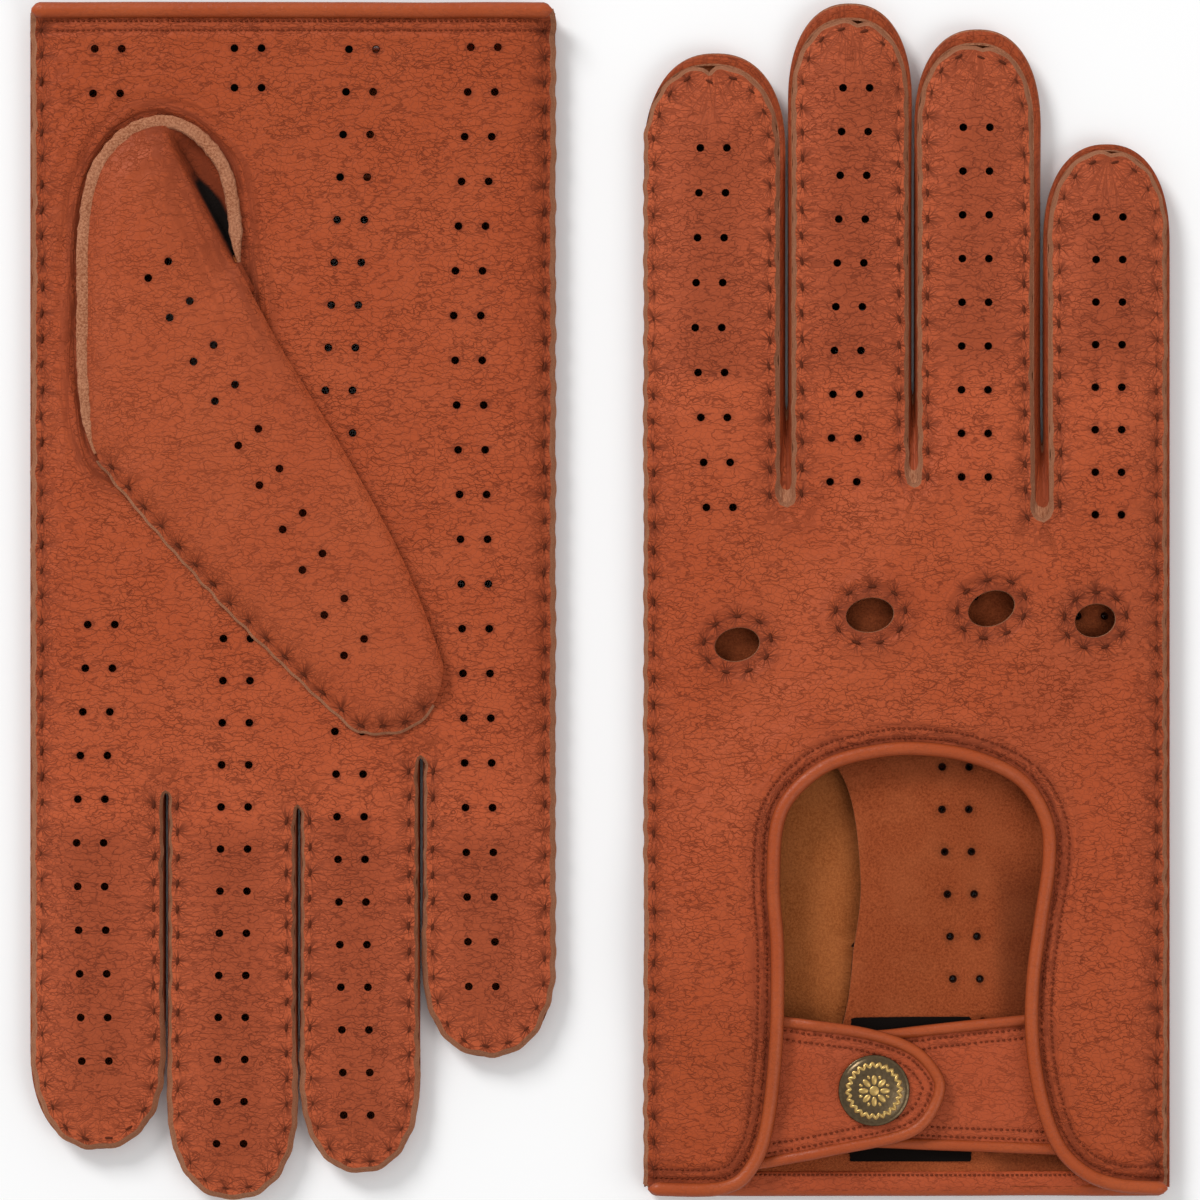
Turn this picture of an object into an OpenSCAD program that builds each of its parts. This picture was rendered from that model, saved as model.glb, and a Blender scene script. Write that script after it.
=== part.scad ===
// Pair of unlined leather driving gloves lying side by side on a table.
// Both gloves share one right-hand pattern: the first lies palm up with its
// fingers towards -Y, the second back up with its fingers towards +Y.
// Glove coordinates: u across from the index-finger edge, v from the cuff to
// the fingertips, w from the palm's outer face (0) to the back's outer face.

/* [Pair] */
// Width of one glove lying flat
glove_w = 105; // [103:0.5:110]
// Length from the cuff to the middle fingertip
glove_l = 239; // [235:1:245]
// Clear table between the two gloves
pair_gap = 18.2; // [8:0.2:40]

/* [Leather] */
// Thickness of the leather
leather = 1; // [0.8:0.05:1.1]
// Free height inside the hand and the fingers
hollow = 5; // [5:0.1:7]
// Thickness of the side walls where two pieces are sewn edge to edge
seam_wall = 1.2; // [1:0.1:1.6]
// Thickness of the narrow strips between two fingers
fourchette_t = 0.8; // [0.6:0.1:1]

/* [Fingers] */
// Width of the open slot between two fingers
slot_w = 1; // [0.7:0.1:1.2]
// Length over which a fingertip is rounded
tip_l = 20; // [16:1:22]
// Gap between the hand and a finger at its bending line
root_gap = 0.8; // [0.6:0.1:1]

/* [Thumb] */
// Total thickness of the flattened thumb
thumb_t = 2.9; // [2.6:0.1:4]
// Gap between the folded thumb and the palm
thumb_gap = 0.7; // [0.7:0.1:1.5]
// Leather of the thumb
thumb_leather = 0.8; // [0.6:0.1:0.9]

/* [Edges] */
// Width of the piping round the opening in the back
piping_w = 2.6; // [2:0.1:2.8]
// Radius of the rolled binding at the palm's cuff
cuff_r = 1.3; // [1:0.1:1.4]
// Width of the raw-edge band round the thumb hole
welt_w = 2.4; // [2:0.1:2.8]
// Height of that band above the palm
welt_t = 0.4; // [0.2:0.05:0.4]
// Width of the binding on the strap and the tab
binding_w = 1.6; // [1.2:0.1:2]

/* [Snap fastener] */
// Radius of the decorated cap
cap_r = 7; // [6:0.1:7.5]
// Radius of the female socket ring
socket_r = 4.2; // [4:0.1:4.6]
// Radius of the male stud
stud_r = 2.1; // [1.8:0.05:2.2]

/* [Hidden] */
SUBPARTS = [
    "palm_panel", "back_panel", "finger_gussets",
    "index_front", "index_back", "index_fourchette",
    "middle_front", "middle_back", "middle_fourchettes",
    "ring_front", "ring_back", "ring_fourchettes",
    "little_front", "little_back", "little_fourchette",
    "thumb", "thumb_base", "thumb_welt", "cuff_binding", "opening_piping",
    "strap", "strap_binding", "tab", "tab_binding",
    "snap_cap", "snap_socket", "snap_stud", "snap_post", "size_label"
];
GLOVES = ["palm_up", "back_up"];
$fn = 48;

TAN = [0.60, 0.28, 0.17];
THUMB_TAN = [0.64, 0.31, 0.20];
SUEDE = [0.57, 0.30, 0.16];
RAW_EDGE = [0.62, 0.38, 0.26];
BRONZE = [0.30, 0.26, 0.20];
BRASS = [0.72, 0.60, 0.36];
BLACK = [0.06, 0.05, 0.05];

// Heights of the layers
full_h = 2 * leather + hollow;
mid_w = full_h / 2;
ceiling_w = full_h - leather;
thumb_outer_w = -thumb_gap - thumb_t;

// Fingers in the order index, middle, ring, little
slot_mid = [[27.3, 53.8, 78.3], [28.3, 53.6, 79.4]];
slot_low_palm = [157.5, 160.5, 150.5];
slot_low_back = [138, 142, 135];
root_v = [158.8, 162, 162, 152];
tip_back = [10, 0, 5.2, 28.2];
tip_power = 2.3;

// Opening in the back: centre line of its piping
opening_path = [
    [0, 2], [15, 2], [21, 6], [24.3, 15], [26, 32], [26.2, 50], [25.4, 64],
    [27, 77.5], [35, 86], [46, 89.4], [56, 89.8], [66, 88], [75, 83.5],
    [79.8, 76], [80.6, 68], [79, 56], [77.4, 44], [77.2, 32], [79, 20],
    [82.5, 10.5], [88, 5], [95, 2.6], [glove_w, 2]
];
// Thumb hole in the palm, open part first, then round the ball of the thumb
hole_path = [
    [41.5, 49], [43, 64], [39.5, 84], [27, 95], [14.2, 91.6], [11.2, 76],
    [11, 60], [11.2, 46], [13.5, 34], [19.5, 26.5], [26.5, 24], [33, 26.2],
    [38.5, 32.5], [40.6, 40], [41.5, 49]
];
// Outline of the folded thumb from one end of its base line to the other
base_a = [14, 91.6];
base_b = [41.4, 50.6];
thumb_tip = [70.5, 133.8];
thumb_tip_r = 12.2;
thumb_path = concat(
    [base_b, [50.6, 68.5], [59.8, 83.9], [68, 98.5], [75.5, 113]],
    [for (a = [-15:15:125]) thumb_tip + thumb_tip_r * [cos(a), sin(a)]],
    [[43, 124.5], [26.2, 106.2], base_a]
);
thumb_mouth = 15;

// Knuckle holes: centre, length, height, tilt
knuckle_holes = [
    [[18.3, 110.6], 9.2, 6.8, 12], [[44.7, 116.5], 9.7, 7, 8],
    [[68.9, 117.8], 9.7, 7, 20], [[89.7, 115.4], 8.4, 6.8, 10]
];

// Closure: levels measured from the palm's outer face
cap_h = 1.1;
strap_top_w = full_h - cap_h;
strap_low_w = strap_top_w - leather;
socket_h = 1.4;
socket_roof = 0.4;
closure_gap = 0.3;
tab_top_w = strap_low_w - socket_h - closure_gap;
tab_low_w = tab_top_w - leather;
stud_h = 1;
post_h = 0.5;
post_r = 4;
rivet_r = 1.2;
snap_uv = [45.4, 21.5];
strap_left = 28.8;
strap_end = [47.7, 21.9];
strap_end_r = 11;
tab_span = [38, 75.2];
tab_v = [10.2, 34];
label_uv = [40, 7];
label_size = [24.6, 28];
label_t = 0.35;

function catmull(a, b, c, d, t) =
    0.5 * (2 * b + (c - a) * t + (2 * a - 5 * b + 4 * c - d) * t * t
    + (3 * b - a - 3 * c + d) * t * t * t);
// Smooth curve through the points, steps pieces between each two
function curve(pts, steps = 3) = concat(
    [for (i = [0:len(pts) - 2]) for (k = [0:steps - 1])
        catmull(pts[max(i - 1, 0)], pts[i], pts[i + 1],
                pts[min(i + 2, len(pts) - 1)], k / steps)],
    [pts[len(pts) - 1]]);
// The same line moved d to its left
function beside(pts, d) = [for (i = [0:len(pts) - 1])
    let (run = pts[min(i + 1, len(pts) - 1)] - pts[max(i - 1, 0)])
    pts[i] + d * [-run[1], run[0]] / norm(run)];
function backwards(pts) = [for (i = [len(pts) - 1:-1:0]) pts[i]];
function band(pts, d0, d1) = concat(beside(pts, d0), backwards(beside(pts, d1)));
function power_wave(x, p) = sign(x) * pow(abs(x), 2 / p);

// One finger's edges across the glove, and its two ends
function finger_left(g, i) = i == 0 ? 0 : slot_mid[g][i - 1] + slot_w / 2;
function finger_right(g, i) = i == 3 ? glove_w : slot_mid[g][i] - slot_w / 2;
function finger_start(i) = root_v[i] + root_gap;
function finger_end(i) = glove_l - tip_back[i];
function finger_outline(g, i, inset) =
    let (u0 = finger_left(g, i) + inset, u1 = finger_right(g, i) - inset)
    let (mid = (u0 + u1) / 2, half = (u1 - u0) / 2, long = tip_l - inset)
    let (v1 = finger_end(i) - tip_l)
    concat([[u0, finger_start(i) - inset], [u1, finger_start(i) - inset]],
        [for (a = [0:10:180]) [mid + half * power_wave(cos(a), tip_power),
                               v1 + long * power_wave(sin(a), tip_power)]]);

module layer(w0, w1) {
    translate([0, 0, w0]) linear_extrude(w1 - w0) children();
}
module box2(u0, u1, v0, v1) {
    translate([u0, v0]) square([u1 - u0, v1 - v0]);
}

// Flat shape of the hand from the cuff to the bending lines of the fingers
module hand_flat(g, cuff_v, slot_low) {
    difference() {
        for (i = [0:3]) {
            box2(i == 0 ? 0 : slot_mid[g][i - 1],
                 i == 3 ? glove_w : slot_mid[g][i], cuff_v, root_v[i]);
        }
        for (k = [0:2]) {
            translate([slot_mid[g][k] - slot_w / 2, slot_low[k]]) square([slot_w, 40]);
        }
    }
}
module side_walls(cuff_v) {
    box2(0, seam_wall, cuff_v, root_v[0]);
    box2(glove_w - seam_wall, glove_w, cuff_v, root_v[3]);
}

module palm_panel(g) {
    color(TAN) {
        layer(0, leather) difference() {
            hand_flat(g, 2 * cuff_r, slot_low_palm);
            polygon(curve(hole_path));
        }
        layer(leather, mid_w) side_walls(2 * cuff_r);
    }
}

// Everything on the cuff side of the piping's outer edge
module opening_flat() {
    edge = beside(curve(opening_path), piping_w / 2);
    polygon(concat([[-1, -1], [-1, edge[0][1]]], edge,
        [[glove_w + 1, edge[len(edge) - 1][1]], [glove_w + 1, -1]]));
}

module back_panel(g) {
    color(TAN) {
        layer(ceiling_w, full_h) difference() {
            hand_flat(g, 0, slot_low_back);
            opening_flat();
            for (hole = knuckle_holes) {
                translate(hole[0]) rotate(hole[3]) polygon([for (a = [0:15:345])
                    [hole[1] / 2 * cos(a), hole[2] / 2 * sin(a)]]);
            }
        }
        layer(mid_w, ceiling_w) side_walls(2 * cuff_r);
    }
}

module opening_piping() {
    color(TAN) layer(ceiling_w, full_h) intersection() {
        polygon(band(curve(opening_path), -piping_w / 2, piping_w / 2));
        box2(0, glove_w, 0, glove_l);
    }
}

// Closed ends of the strips between the fingers, inside the hand
module finger_gussets(g) {
    color(SUEDE) layer(leather, ceiling_w) for (k = [0:2]) difference() {
        half = slot_w / 2;
        top = min(root_v[k], root_v[k + 1]);
        translate([slot_mid[g][k] - half - fourchette_t, slot_low_back[k] - fourchette_t])
            square([slot_w + 2 * fourchette_t, top - slot_low_back[k] + fourchette_t]);
        translate([slot_mid[g][k] - half, slot_low_back[k]]) square([slot_w, 40]);
    }
}

// Strips along the sides of a finger that face another finger
module strip_flat(g, i) {
    u0 = finger_left(g, i);
    u1 = finger_right(g, i);
    top = finger_end(i) - tip_l;
    if (i > 0) box2(u0, u0 + fourchette_t, finger_start(i), top);
    if (i < 3) box2(u1 - fourchette_t, u1, finger_start(i), top);
}
module finger_wall(g, i) {
    difference() {
        polygon(finger_outline(g, i, 0));
        polygon(finger_outline(g, i, seam_wall));
        u0 = finger_left(g, i);
        u1 = finger_right(g, i);
        top = finger_end(i) - tip_l;
        if (i > 0) box2(u0 - 1, u0 + seam_wall + 0.1, 0, top);
        if (i < 3) box2(u1 - seam_wall - 0.1, u1 + 1, 0, top);
    }
}
module finger_front(g, i) {
    color(TAN) {
        layer(0, leather) polygon(finger_outline(g, i, 0));
        layer(leather, mid_w) finger_wall(g, i);
    }
}
module finger_back(g, i) {
    color(TAN) {
        layer(ceiling_w, full_h) polygon(finger_outline(g, i, 0));
        layer(mid_w, ceiling_w) finger_wall(g, i);
    }
}
module fourchettes(g, i) {
    color(SUEDE) layer(leather, ceiling_w) strip_flat(g, i);
}

// Half plane on the tip's side of the thumb's base line, distance d from it
module beyond_base(d) {
    along = (base_b - base_a) / norm(base_b - base_a);
    across = [-along[1], along[0]];
    far = 200;
    polygon([for (p = [[-far, d], [far, d], [far, far], [-far, far]])
        base_a + p[0] * along + p[1] * across]);
}

// Flat folded tube, open towards the palm near its base line
module thumb() {
    inner = beside(thumb_path, seam_wall);
    reach = 10;
    color(THUMB_TAN) {
        layer(thumb_outer_w, thumb_outer_w + thumb_leather) polygon(thumb_path);
        layer(thumb_outer_w + thumb_leather, -thumb_gap - thumb_leather) difference() {
            polygon(thumb_path);
            polygon(concat(inner, [base_a + [0, -reach], base_b + [-reach, 0]]));
        }
        layer(-thumb_gap - thumb_leather, -thumb_gap) intersection() {
            polygon(thumb_path);
            beyond_base(thumb_mouth);
        }
    }
}

// Ball of the thumb, set into the hole of the palm
module thumb_base() {
    color(THUMB_TAN) layer(0, leather) difference() {
        polygon(curve(hole_path));
        beyond_base(0);
    }
}
module thumb_welt() {
    color(RAW_EDGE) layer(-welt_t, 0) difference() {
        polygon(beside(curve(hole_path), -welt_w));
        polygon(curve(hole_path));
        beyond_base(0);
    }
}

module cuff_binding() {
    color(TAN) translate([0, cuff_r, cuff_r / 2]) rotate([0, 90, 0]) rotate(22.5)
        cylinder(r = cuff_r / cos(22.5), h = glove_w, $fn = 8);
}

module strap_flat(inset) {
    low = tab_v[0] - 2 + inset;
    r = strap_end_r - inset;
    polygon(concat([[strap_left, strap_end[1] + r + 1.4], [strap_left, low]],
        [for (a = [-80:10:84]) strap_end + r * [cos(a), sin(a)]]));
}
module strap() {
    color(TAN) layer(strap_low_w, strap_top_w) difference() {
        strap_flat(binding_w);
        translate(snap_uv) circle(rivet_r);
    }
}
module strap_binding() {
    color(TAN) layer(strap_low_w, strap_top_w) difference() {
        strap_flat(0);
        strap_flat(binding_w);
    }
}
module tab() {
    color(TAN) layer(tab_low_w, tab_top_w) difference() {
        box2(tab_span[0], tab_span[1], tab_v[0] + binding_w, tab_v[1] - binding_w);
        translate(snap_uv) circle(rivet_r);
    }
}
module tab_binding() {
    color(TAN) layer(tab_low_w, tab_top_w) {
        box2(tab_span[0], tab_span[1], tab_v[0], tab_v[0] + binding_w);
        box2(tab_span[0], tab_span[1], tab_v[1] - binding_w, tab_v[1]);
    }
}

// Cap with the rivet that goes through the strap into the socket
module snap_cap() {
    shoulder = 0.5;
    color(BRONZE) translate(snap_uv) {
        translate([0, 0, strap_top_w]) cylinder(r = cap_r, h = cap_h - shoulder);
        translate([0, 0, full_h - shoulder]) cylinder(r = cap_r - 0.8, h = shoulder);
        translate([0, 0, strap_low_w - socket_roof])
            cylinder(r = rivet_r, h = leather + socket_roof);
    }
}
module snap_socket() {
    bottom = strap_low_w - socket_h;
    color(BRASS) translate(snap_uv) difference() {
        translate([0, 0, bottom]) cylinder(r = socket_r, h = socket_h);
        translate([0, 0, bottom - 1])
            cylinder(r = stud_r + 0.6, h = socket_h - socket_roof + 1);
        translate([0, 0, bottom]) cylinder(r = rivet_r, h = socket_h + 1);
    }
}
module snap_stud() {
    color(BRASS) translate([snap_uv[0], snap_uv[1], tab_top_w]) {
        cylinder(r = stud_r - 0.3, h = stud_h);
        translate([0, 0, stud_h / 2]) cylinder(r = stud_r, h = stud_h / 2);
    }
}
module snap_post() {
    color(BRASS) translate([snap_uv[0], snap_uv[1], tab_low_w]) {
        translate([0, 0, -post_h]) cylinder(r = post_r, h = post_h);
        cylinder(r = rivet_r, h = leather);
    }
}
module size_label() {
    color(BLACK) layer(leather, leather + label_t) translate(label_uv) square(label_size);
}

// Puts a glove on the table: 0 lies palm up, 1 lies back up on its thumb
module place(g) {
    if (g == 0) {
        translate([-glove_w - pair_gap / 2, glove_l / 2, full_h]) rotate([180, 0, 0])
            children();
    } else {
        translate([pair_gap / 2, -glove_l / 2, -thumb_outer_w]) children();
    }
}
module sub_part(g, name) {
    if (name == "palm_panel") palm_panel(g);
    if (name == "back_panel") back_panel(g);
    if (name == "finger_gussets") finger_gussets(g);
    if (name == "index_front") finger_front(g, 0);
    if (name == "index_back") finger_back(g, 0);
    if (name == "index_fourchette") fourchettes(g, 0);
    if (name == "middle_front") finger_front(g, 1);
    if (name == "middle_back") finger_back(g, 1);
    if (name == "middle_fourchettes") fourchettes(g, 1);
    if (name == "ring_front") finger_front(g, 2);
    if (name == "ring_back") finger_back(g, 2);
    if (name == "ring_fourchettes") fourchettes(g, 2);
    if (name == "little_front") finger_front(g, 3);
    if (name == "little_back") finger_back(g, 3);
    if (name == "little_fourchette") fourchettes(g, 3);
    if (name == "thumb") thumb();
    if (name == "thumb_base") thumb_base();
    if (name == "thumb_welt") thumb_welt();
    if (name == "cuff_binding") cuff_binding();
    if (name == "opening_piping") opening_piping();
    if (name == "strap") strap();
    if (name == "strap_binding") strap_binding();
    if (name == "tab") tab();
    if (name == "tab_binding") tab_binding();
    if (name == "snap_cap") snap_cap();
    if (name == "snap_socket") snap_socket();
    if (name == "snap_stud") snap_stud();
    if (name == "snap_post") snap_post();
    if (name == "size_label") size_label();
}

for (g = [0, 1]) for (s = SUBPARTS) {
    place(g) sub_part(g, s);
}
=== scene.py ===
import math
from functools import partialmethod

import bpy
import numpy as np
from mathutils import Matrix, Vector, kdtree
from mathutils.geometry import delaunay_2d_cdt


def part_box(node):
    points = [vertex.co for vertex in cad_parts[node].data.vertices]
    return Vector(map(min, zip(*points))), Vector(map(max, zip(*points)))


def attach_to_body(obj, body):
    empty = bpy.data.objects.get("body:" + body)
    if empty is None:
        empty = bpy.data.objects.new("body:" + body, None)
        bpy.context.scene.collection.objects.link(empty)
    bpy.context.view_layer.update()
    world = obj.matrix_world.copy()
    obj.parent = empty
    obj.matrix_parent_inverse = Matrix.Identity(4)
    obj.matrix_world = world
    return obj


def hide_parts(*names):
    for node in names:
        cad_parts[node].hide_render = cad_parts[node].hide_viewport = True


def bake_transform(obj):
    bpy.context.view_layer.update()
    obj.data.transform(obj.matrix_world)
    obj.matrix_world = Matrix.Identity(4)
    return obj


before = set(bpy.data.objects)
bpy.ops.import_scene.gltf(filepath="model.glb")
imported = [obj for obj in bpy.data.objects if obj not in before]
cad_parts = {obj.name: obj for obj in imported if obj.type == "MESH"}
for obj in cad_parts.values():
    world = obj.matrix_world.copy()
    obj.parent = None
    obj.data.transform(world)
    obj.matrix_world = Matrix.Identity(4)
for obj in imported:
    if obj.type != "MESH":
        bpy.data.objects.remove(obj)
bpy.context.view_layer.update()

# ---------------------------------------------------------------- sizes, mm
MM = 0.001
TURN = 2 * math.pi
GLOVES = ("palm_up", "back_up")
FINGERS = ("index", "middle", "ring", "little")
LEATHER = 1.0          # thickness
MID_W = 3.5            # plane where palm and back leather meet
CREST = 3.45           # outer face above that plane, away from the seams
SIDE_EDGE = 1.0        # the same at a side seam, where the leathers meet
SLOT_EDGE = 2.7        # the same at a finger slot, where a fourchette stands
STITCH_IN = 1.15       # stitch line inside the cut edge of the leather
PITCH = 5.15           # hand stitches
TIP_L = 20.0           # length of a finger's rounded tip
TIP_POWER = 2.3        # its roundness: 2 is an ellipse
SLOT_LOW = {"front": (157.5, 160.5, 150.5), "back": (138.0, 142.0, 135.0)}      # foot of each slot
HOLE_R = 0.82          # punched holes
ARCH = 1.1             # the palm under the open back stands this far clear of the table
HOLE_SIDES = 10        # corners of a punched hole
HEX = 0.866            # row height of a triangular grid, in steps
JITTER = 0.3           # how far its points are moved, in steps
SEWN_PITCH = 1.05      # machine-sewn rows on palm and back
FLAP_ROWS = (1.75, 3.5)         # machine-sewn rows inside the edge of strap and tab
FLAP_PITCH = 1.15
NO_KNOT = 99.0         # shader distance that means no hand stitch is near
NO_FAN = (0.0, 500.0, 0.0)      # the same for the pleats at a finger tip
PROUD = {"palm_up": 0.0, "back_up": 0.9}        # rise of strap, tab and snap above their solids

# Cut-edge insets of each finger: left, right, tip
INSETS = {
    ("palm_up", "front"): ((1.35, 0.75, 0.6), (0.75, 0.75, 0.6), (0.75, 0.75, 0.8), (0.75, 0.9, 0.9)),
    ("back_up", "back"): ((0.5, 1.9, 3.3), (1.3, 1.4, 4.2), (1.2, 2.2, 4.0), (1.5, 1.5, 2.2)),
}
LOWER_INSETS = ((0.05, -0.25, 0.05), (-0.25, -0.25, 0.05), (-0.25, -0.25, 0.05), (-0.25, 0.05, 0.05))
FLARE = {"palm_up": (1.1, 0.6), "back_up": (0.85, 0.8)}    # cut edge seen at a seam, at a slot

OPENING = (
    (0, 2), (15, 2), (21, 6), (24.3, 15), (26, 32), (26.2, 50), (25.4, 64),
    (27, 77.5), (35, 86), (46, 89.4), (56, 89.8), (66, 88), (75, 83.5),
    (79.8, 76), (80.6, 68), (79, 56), (77.4, 44), (77.2, 32), (79, 20),
    (82.5, 10.5), (88, 5), (95, 2.6), (105, 2),
)
THUMB_HOLE = (
    (41.5, 49), (43, 64), (39.5, 84), (27, 95), (14.2, 91.6), (11.2, 76),
    (11, 60), (11.2, 46), (13.5, 34), (19.5, 26.5), (26.5, 24), (33, 26.2),
    (38.5, 32.5), (40.6, 40), (41.5, 49),
)
KNUCKLES = (            # centre u and v, length, height, tilt in degrees
    (18.3, 110.6, 9.2, 6.8, 12), (44.7, 116.5, 9.7, 7.0, 8),
    (68.9, 117.8, 9.7, 7.0, 20), (89.7, 115.4, 8.4, 6.8, 10),
)
BASE_A, BASE_B = np.array((14.0, 91.6)), np.array((40.8, 51.0))
THUMB_TIP, THUMB_TIP_R = np.array((70.5, 133.8)), 12.2

rng = np.random.default_rng(11)
LATTICE = rng.random((64, 64))


# ---------------------------------------------------------------- plane geometry
def wave(u, v, size, seed=0):
    """Smooth random relief from -1 to 1, size mm from hill to hill."""
    x, y = np.asarray(u) / size + 13.7 * seed, np.asarray(v) / size + 7.3 * seed
    i, j = np.floor(x).astype(int), np.floor(y).astype(int)
    fx, fy = x - i, y - j
    fx, fy = fx * fx * (3 - 2 * fx), fy * fy * (3 - 2 * fy)

    def at(a, b):
        return LATTICE[a % 64, b % 64]

    low = at(i, j) * (1 - fx) + at(i + 1, j) * fx
    high = at(i, j + 1) * (1 - fx) + at(i + 1, j + 1) * fx
    return 2 * (low * (1 - fy) + high * fy) - 1


def ridged(u, v, size, seed=0):
    """Sharp valleys (1) on a flat field (0)."""
    return np.clip(1 - 5 * np.abs(wave(u, v, size, seed)), 0, 1)


def smooth(x, low, high):
    """0 at low, 1 at high, with a soft start and end."""
    t = np.clip((np.asarray(x) - low) / (high - low), 0, 1)
    return t * t * (3 - 2 * t)


def bell(x, at, wide):
    """1 at the given place, fading on both sides of it."""
    return np.exp(-((x - at) / wide) ** 2)


def arc(path):
    """Length run along a path up to each of its points."""
    return np.concatenate(([0], np.cumsum(np.linalg.norm(np.diff(path, axis=0), axis=1))))


def along(path, run, at):
    """Points of a path at the given lengths run."""
    return np.stack([np.interp(at, run, path[:, k]) for k in range(path.shape[1])], -1)


def resample(path, step):
    """The path with evenly spaced points, about step mm apart."""
    path = np.asarray(path, float)
    run = arc(path)
    count = max(2, int(round(run[-1] / step)) + 1)
    return along(path, run, np.linspace(0, run[-1], count))


def spline(points, step):
    """Catmull-Rom curve through the points, sampled every step mm."""
    p = np.asarray(points, float)
    p = np.vstack([p[:1], p, p[-1:]])
    t = np.linspace(0, 1, 12, endpoint=False)[:, None]
    parts = []
    for a, b, c, d in zip(p[:-3], p[1:-2], p[2:-1], p[3:]):
        parts.append(0.5 * (2 * b + (c - a) * t + (2 * a - 5 * b + 4 * c - d) * t ** 2
                            + (3 * b - a - 3 * c + d) * t ** 3))
    return resample(np.vstack(parts + [p[-1:]]), step)


def left_normals(path):
    """Unit directions to the left of a plane path."""
    run = np.gradient(path, axis=0)
    run = run / np.maximum(np.linalg.norm(run, axis=1, keepdims=True), 1e-9)
    return np.stack([-run[:, 1], run[:, 0]], 1)


def inside(points, loop):
    """Which points lie inside the closed loop."""
    result = np.zeros(len(points), bool)
    x, y = points[:, 0], points[:, 1]
    for (x0, y0), (x1, y1) in zip(loop, np.roll(loop, -1, 0)):
        if y0 == y1:
            continue
        crosses = (y0 > y) != (y1 > y)
        result ^= crosses & (x < (x1 - x0) * (y - y0) / (y1 - y0) + x0)
    return result


class Nearest:
    """Nearest sample of a set of plane points."""

    def __init__(self, points):
        self.tree = kdtree.KDTree(len(points))
        for k, p in enumerate(points):
            self.tree.insert((p[0], p[1], 0), k)
        self.tree.balance()

    def __call__(self, points):
        found = [self.tree.find((p[0], p[1], 0))[1:] for p in points]
        return np.array([f[0] for f in found], int), np.array([f[1] for f in found])


# ---------------------------------------------------------------- placing
class Glove:
    """One glove's place and sizes, read from the frame.

    Glove coordinates in mm: u across from the index finger's side, v from the cuff to the tips,
    w from the palm's outer face to the back's.
    """

    def __init__(self, name):
        self.name = name
        self.palm_up = name == "palm_up"
        palm_lo, palm_hi = (np.array(c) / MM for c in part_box(f"{name}_palm_panel"))
        cuff_lo, cuff_hi = (np.array(c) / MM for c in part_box(f"{name}_cuff_binding"))
        self.origin = np.array([palm_lo[0], cuff_hi[1] if self.palm_up else cuff_lo[1],
                                palm_hi[2] if self.palm_up else palm_lo[2]])
        self.flip = np.array([1, -1, -1] if self.palm_up else [1, 1, 1], float)
        self.width = palm_hi[0] - palm_lo[0]
        spans = [self.local_box(f"{name}_{f}_front") for f in FINGERS]
        self.left = [s[0][0] for s in spans]
        self.right = [s[1][0] for s in spans]
        self.tip = [s[1][1] for s in spans]
        hand = self.local_box(f"{name}_palm_panel")
        self.root = [s[0][1] - 0.8 for s in spans]
        self.reach = hand[1][1]
        self.slot_mid = [(self.right[k] + self.left[k + 1]) / 2 for k in range(3)]

    def local_box(self, node):
        a, b = (self.local(np.array(c)[None] / MM)[0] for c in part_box(node))
        return np.minimum(a, b), np.maximum(a, b)

    def local(self, row_mm):
        return (row_mm - self.origin) * self.flip

    def sag(self, u, v):
        """How far the back-up glove sinks beside the thumb that lies under it."""
        if self.palm_up:
            return np.zeros_like(np.asarray(u, float))
        a, b = np.array((25.0, 50.0)), np.array((69.0, 128.0))
        run = b - a
        p = np.stack([u, v], -1) - a
        t = np.clip(p @ run / (run @ run), 0, 1)
        away = np.linalg.norm(p - t[..., None] * run, axis=-1)
        return (self.origin[2] - 0.15) * smooth(away, 13, 36)

    def place(self, uvw):
        """Glove coordinates in mm to the row frame in metres."""
        uvw = np.asarray(uvw, float)
        row = uvw * self.flip + self.origin
        row[..., 2] -= self.sag(uvw[..., 0], uvw[..., 1])
        return row * MM

    def body(self, part):
        return f"{self.name}_{part}"


gloves = [Glove(name) for name in GLOVES]


# ---------------------------------------------------------------- mesh helpers
def unit(v):
    return v / np.maximum(np.linalg.norm(v, axis=-1, keepdims=True), 1e-12)


def vertex_normals(verts, faces):
    """Area-weighted normals of a triangle or quad mesh."""
    a, b, c = verts[faces[:, 0]], verts[faces[:, 1]], verts[faces[:, 2]]
    n = np.cross(b - a, c - a)
    if faces.shape[1] == 4:
        n = n + np.cross(c - a, verts[faces[:, 3]] - a)
    total = np.zeros_like(verts)
    for k in range(faces.shape[1]):
        np.add.at(total, faces[:, k], n)
    return unit(total), unit(n)


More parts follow.
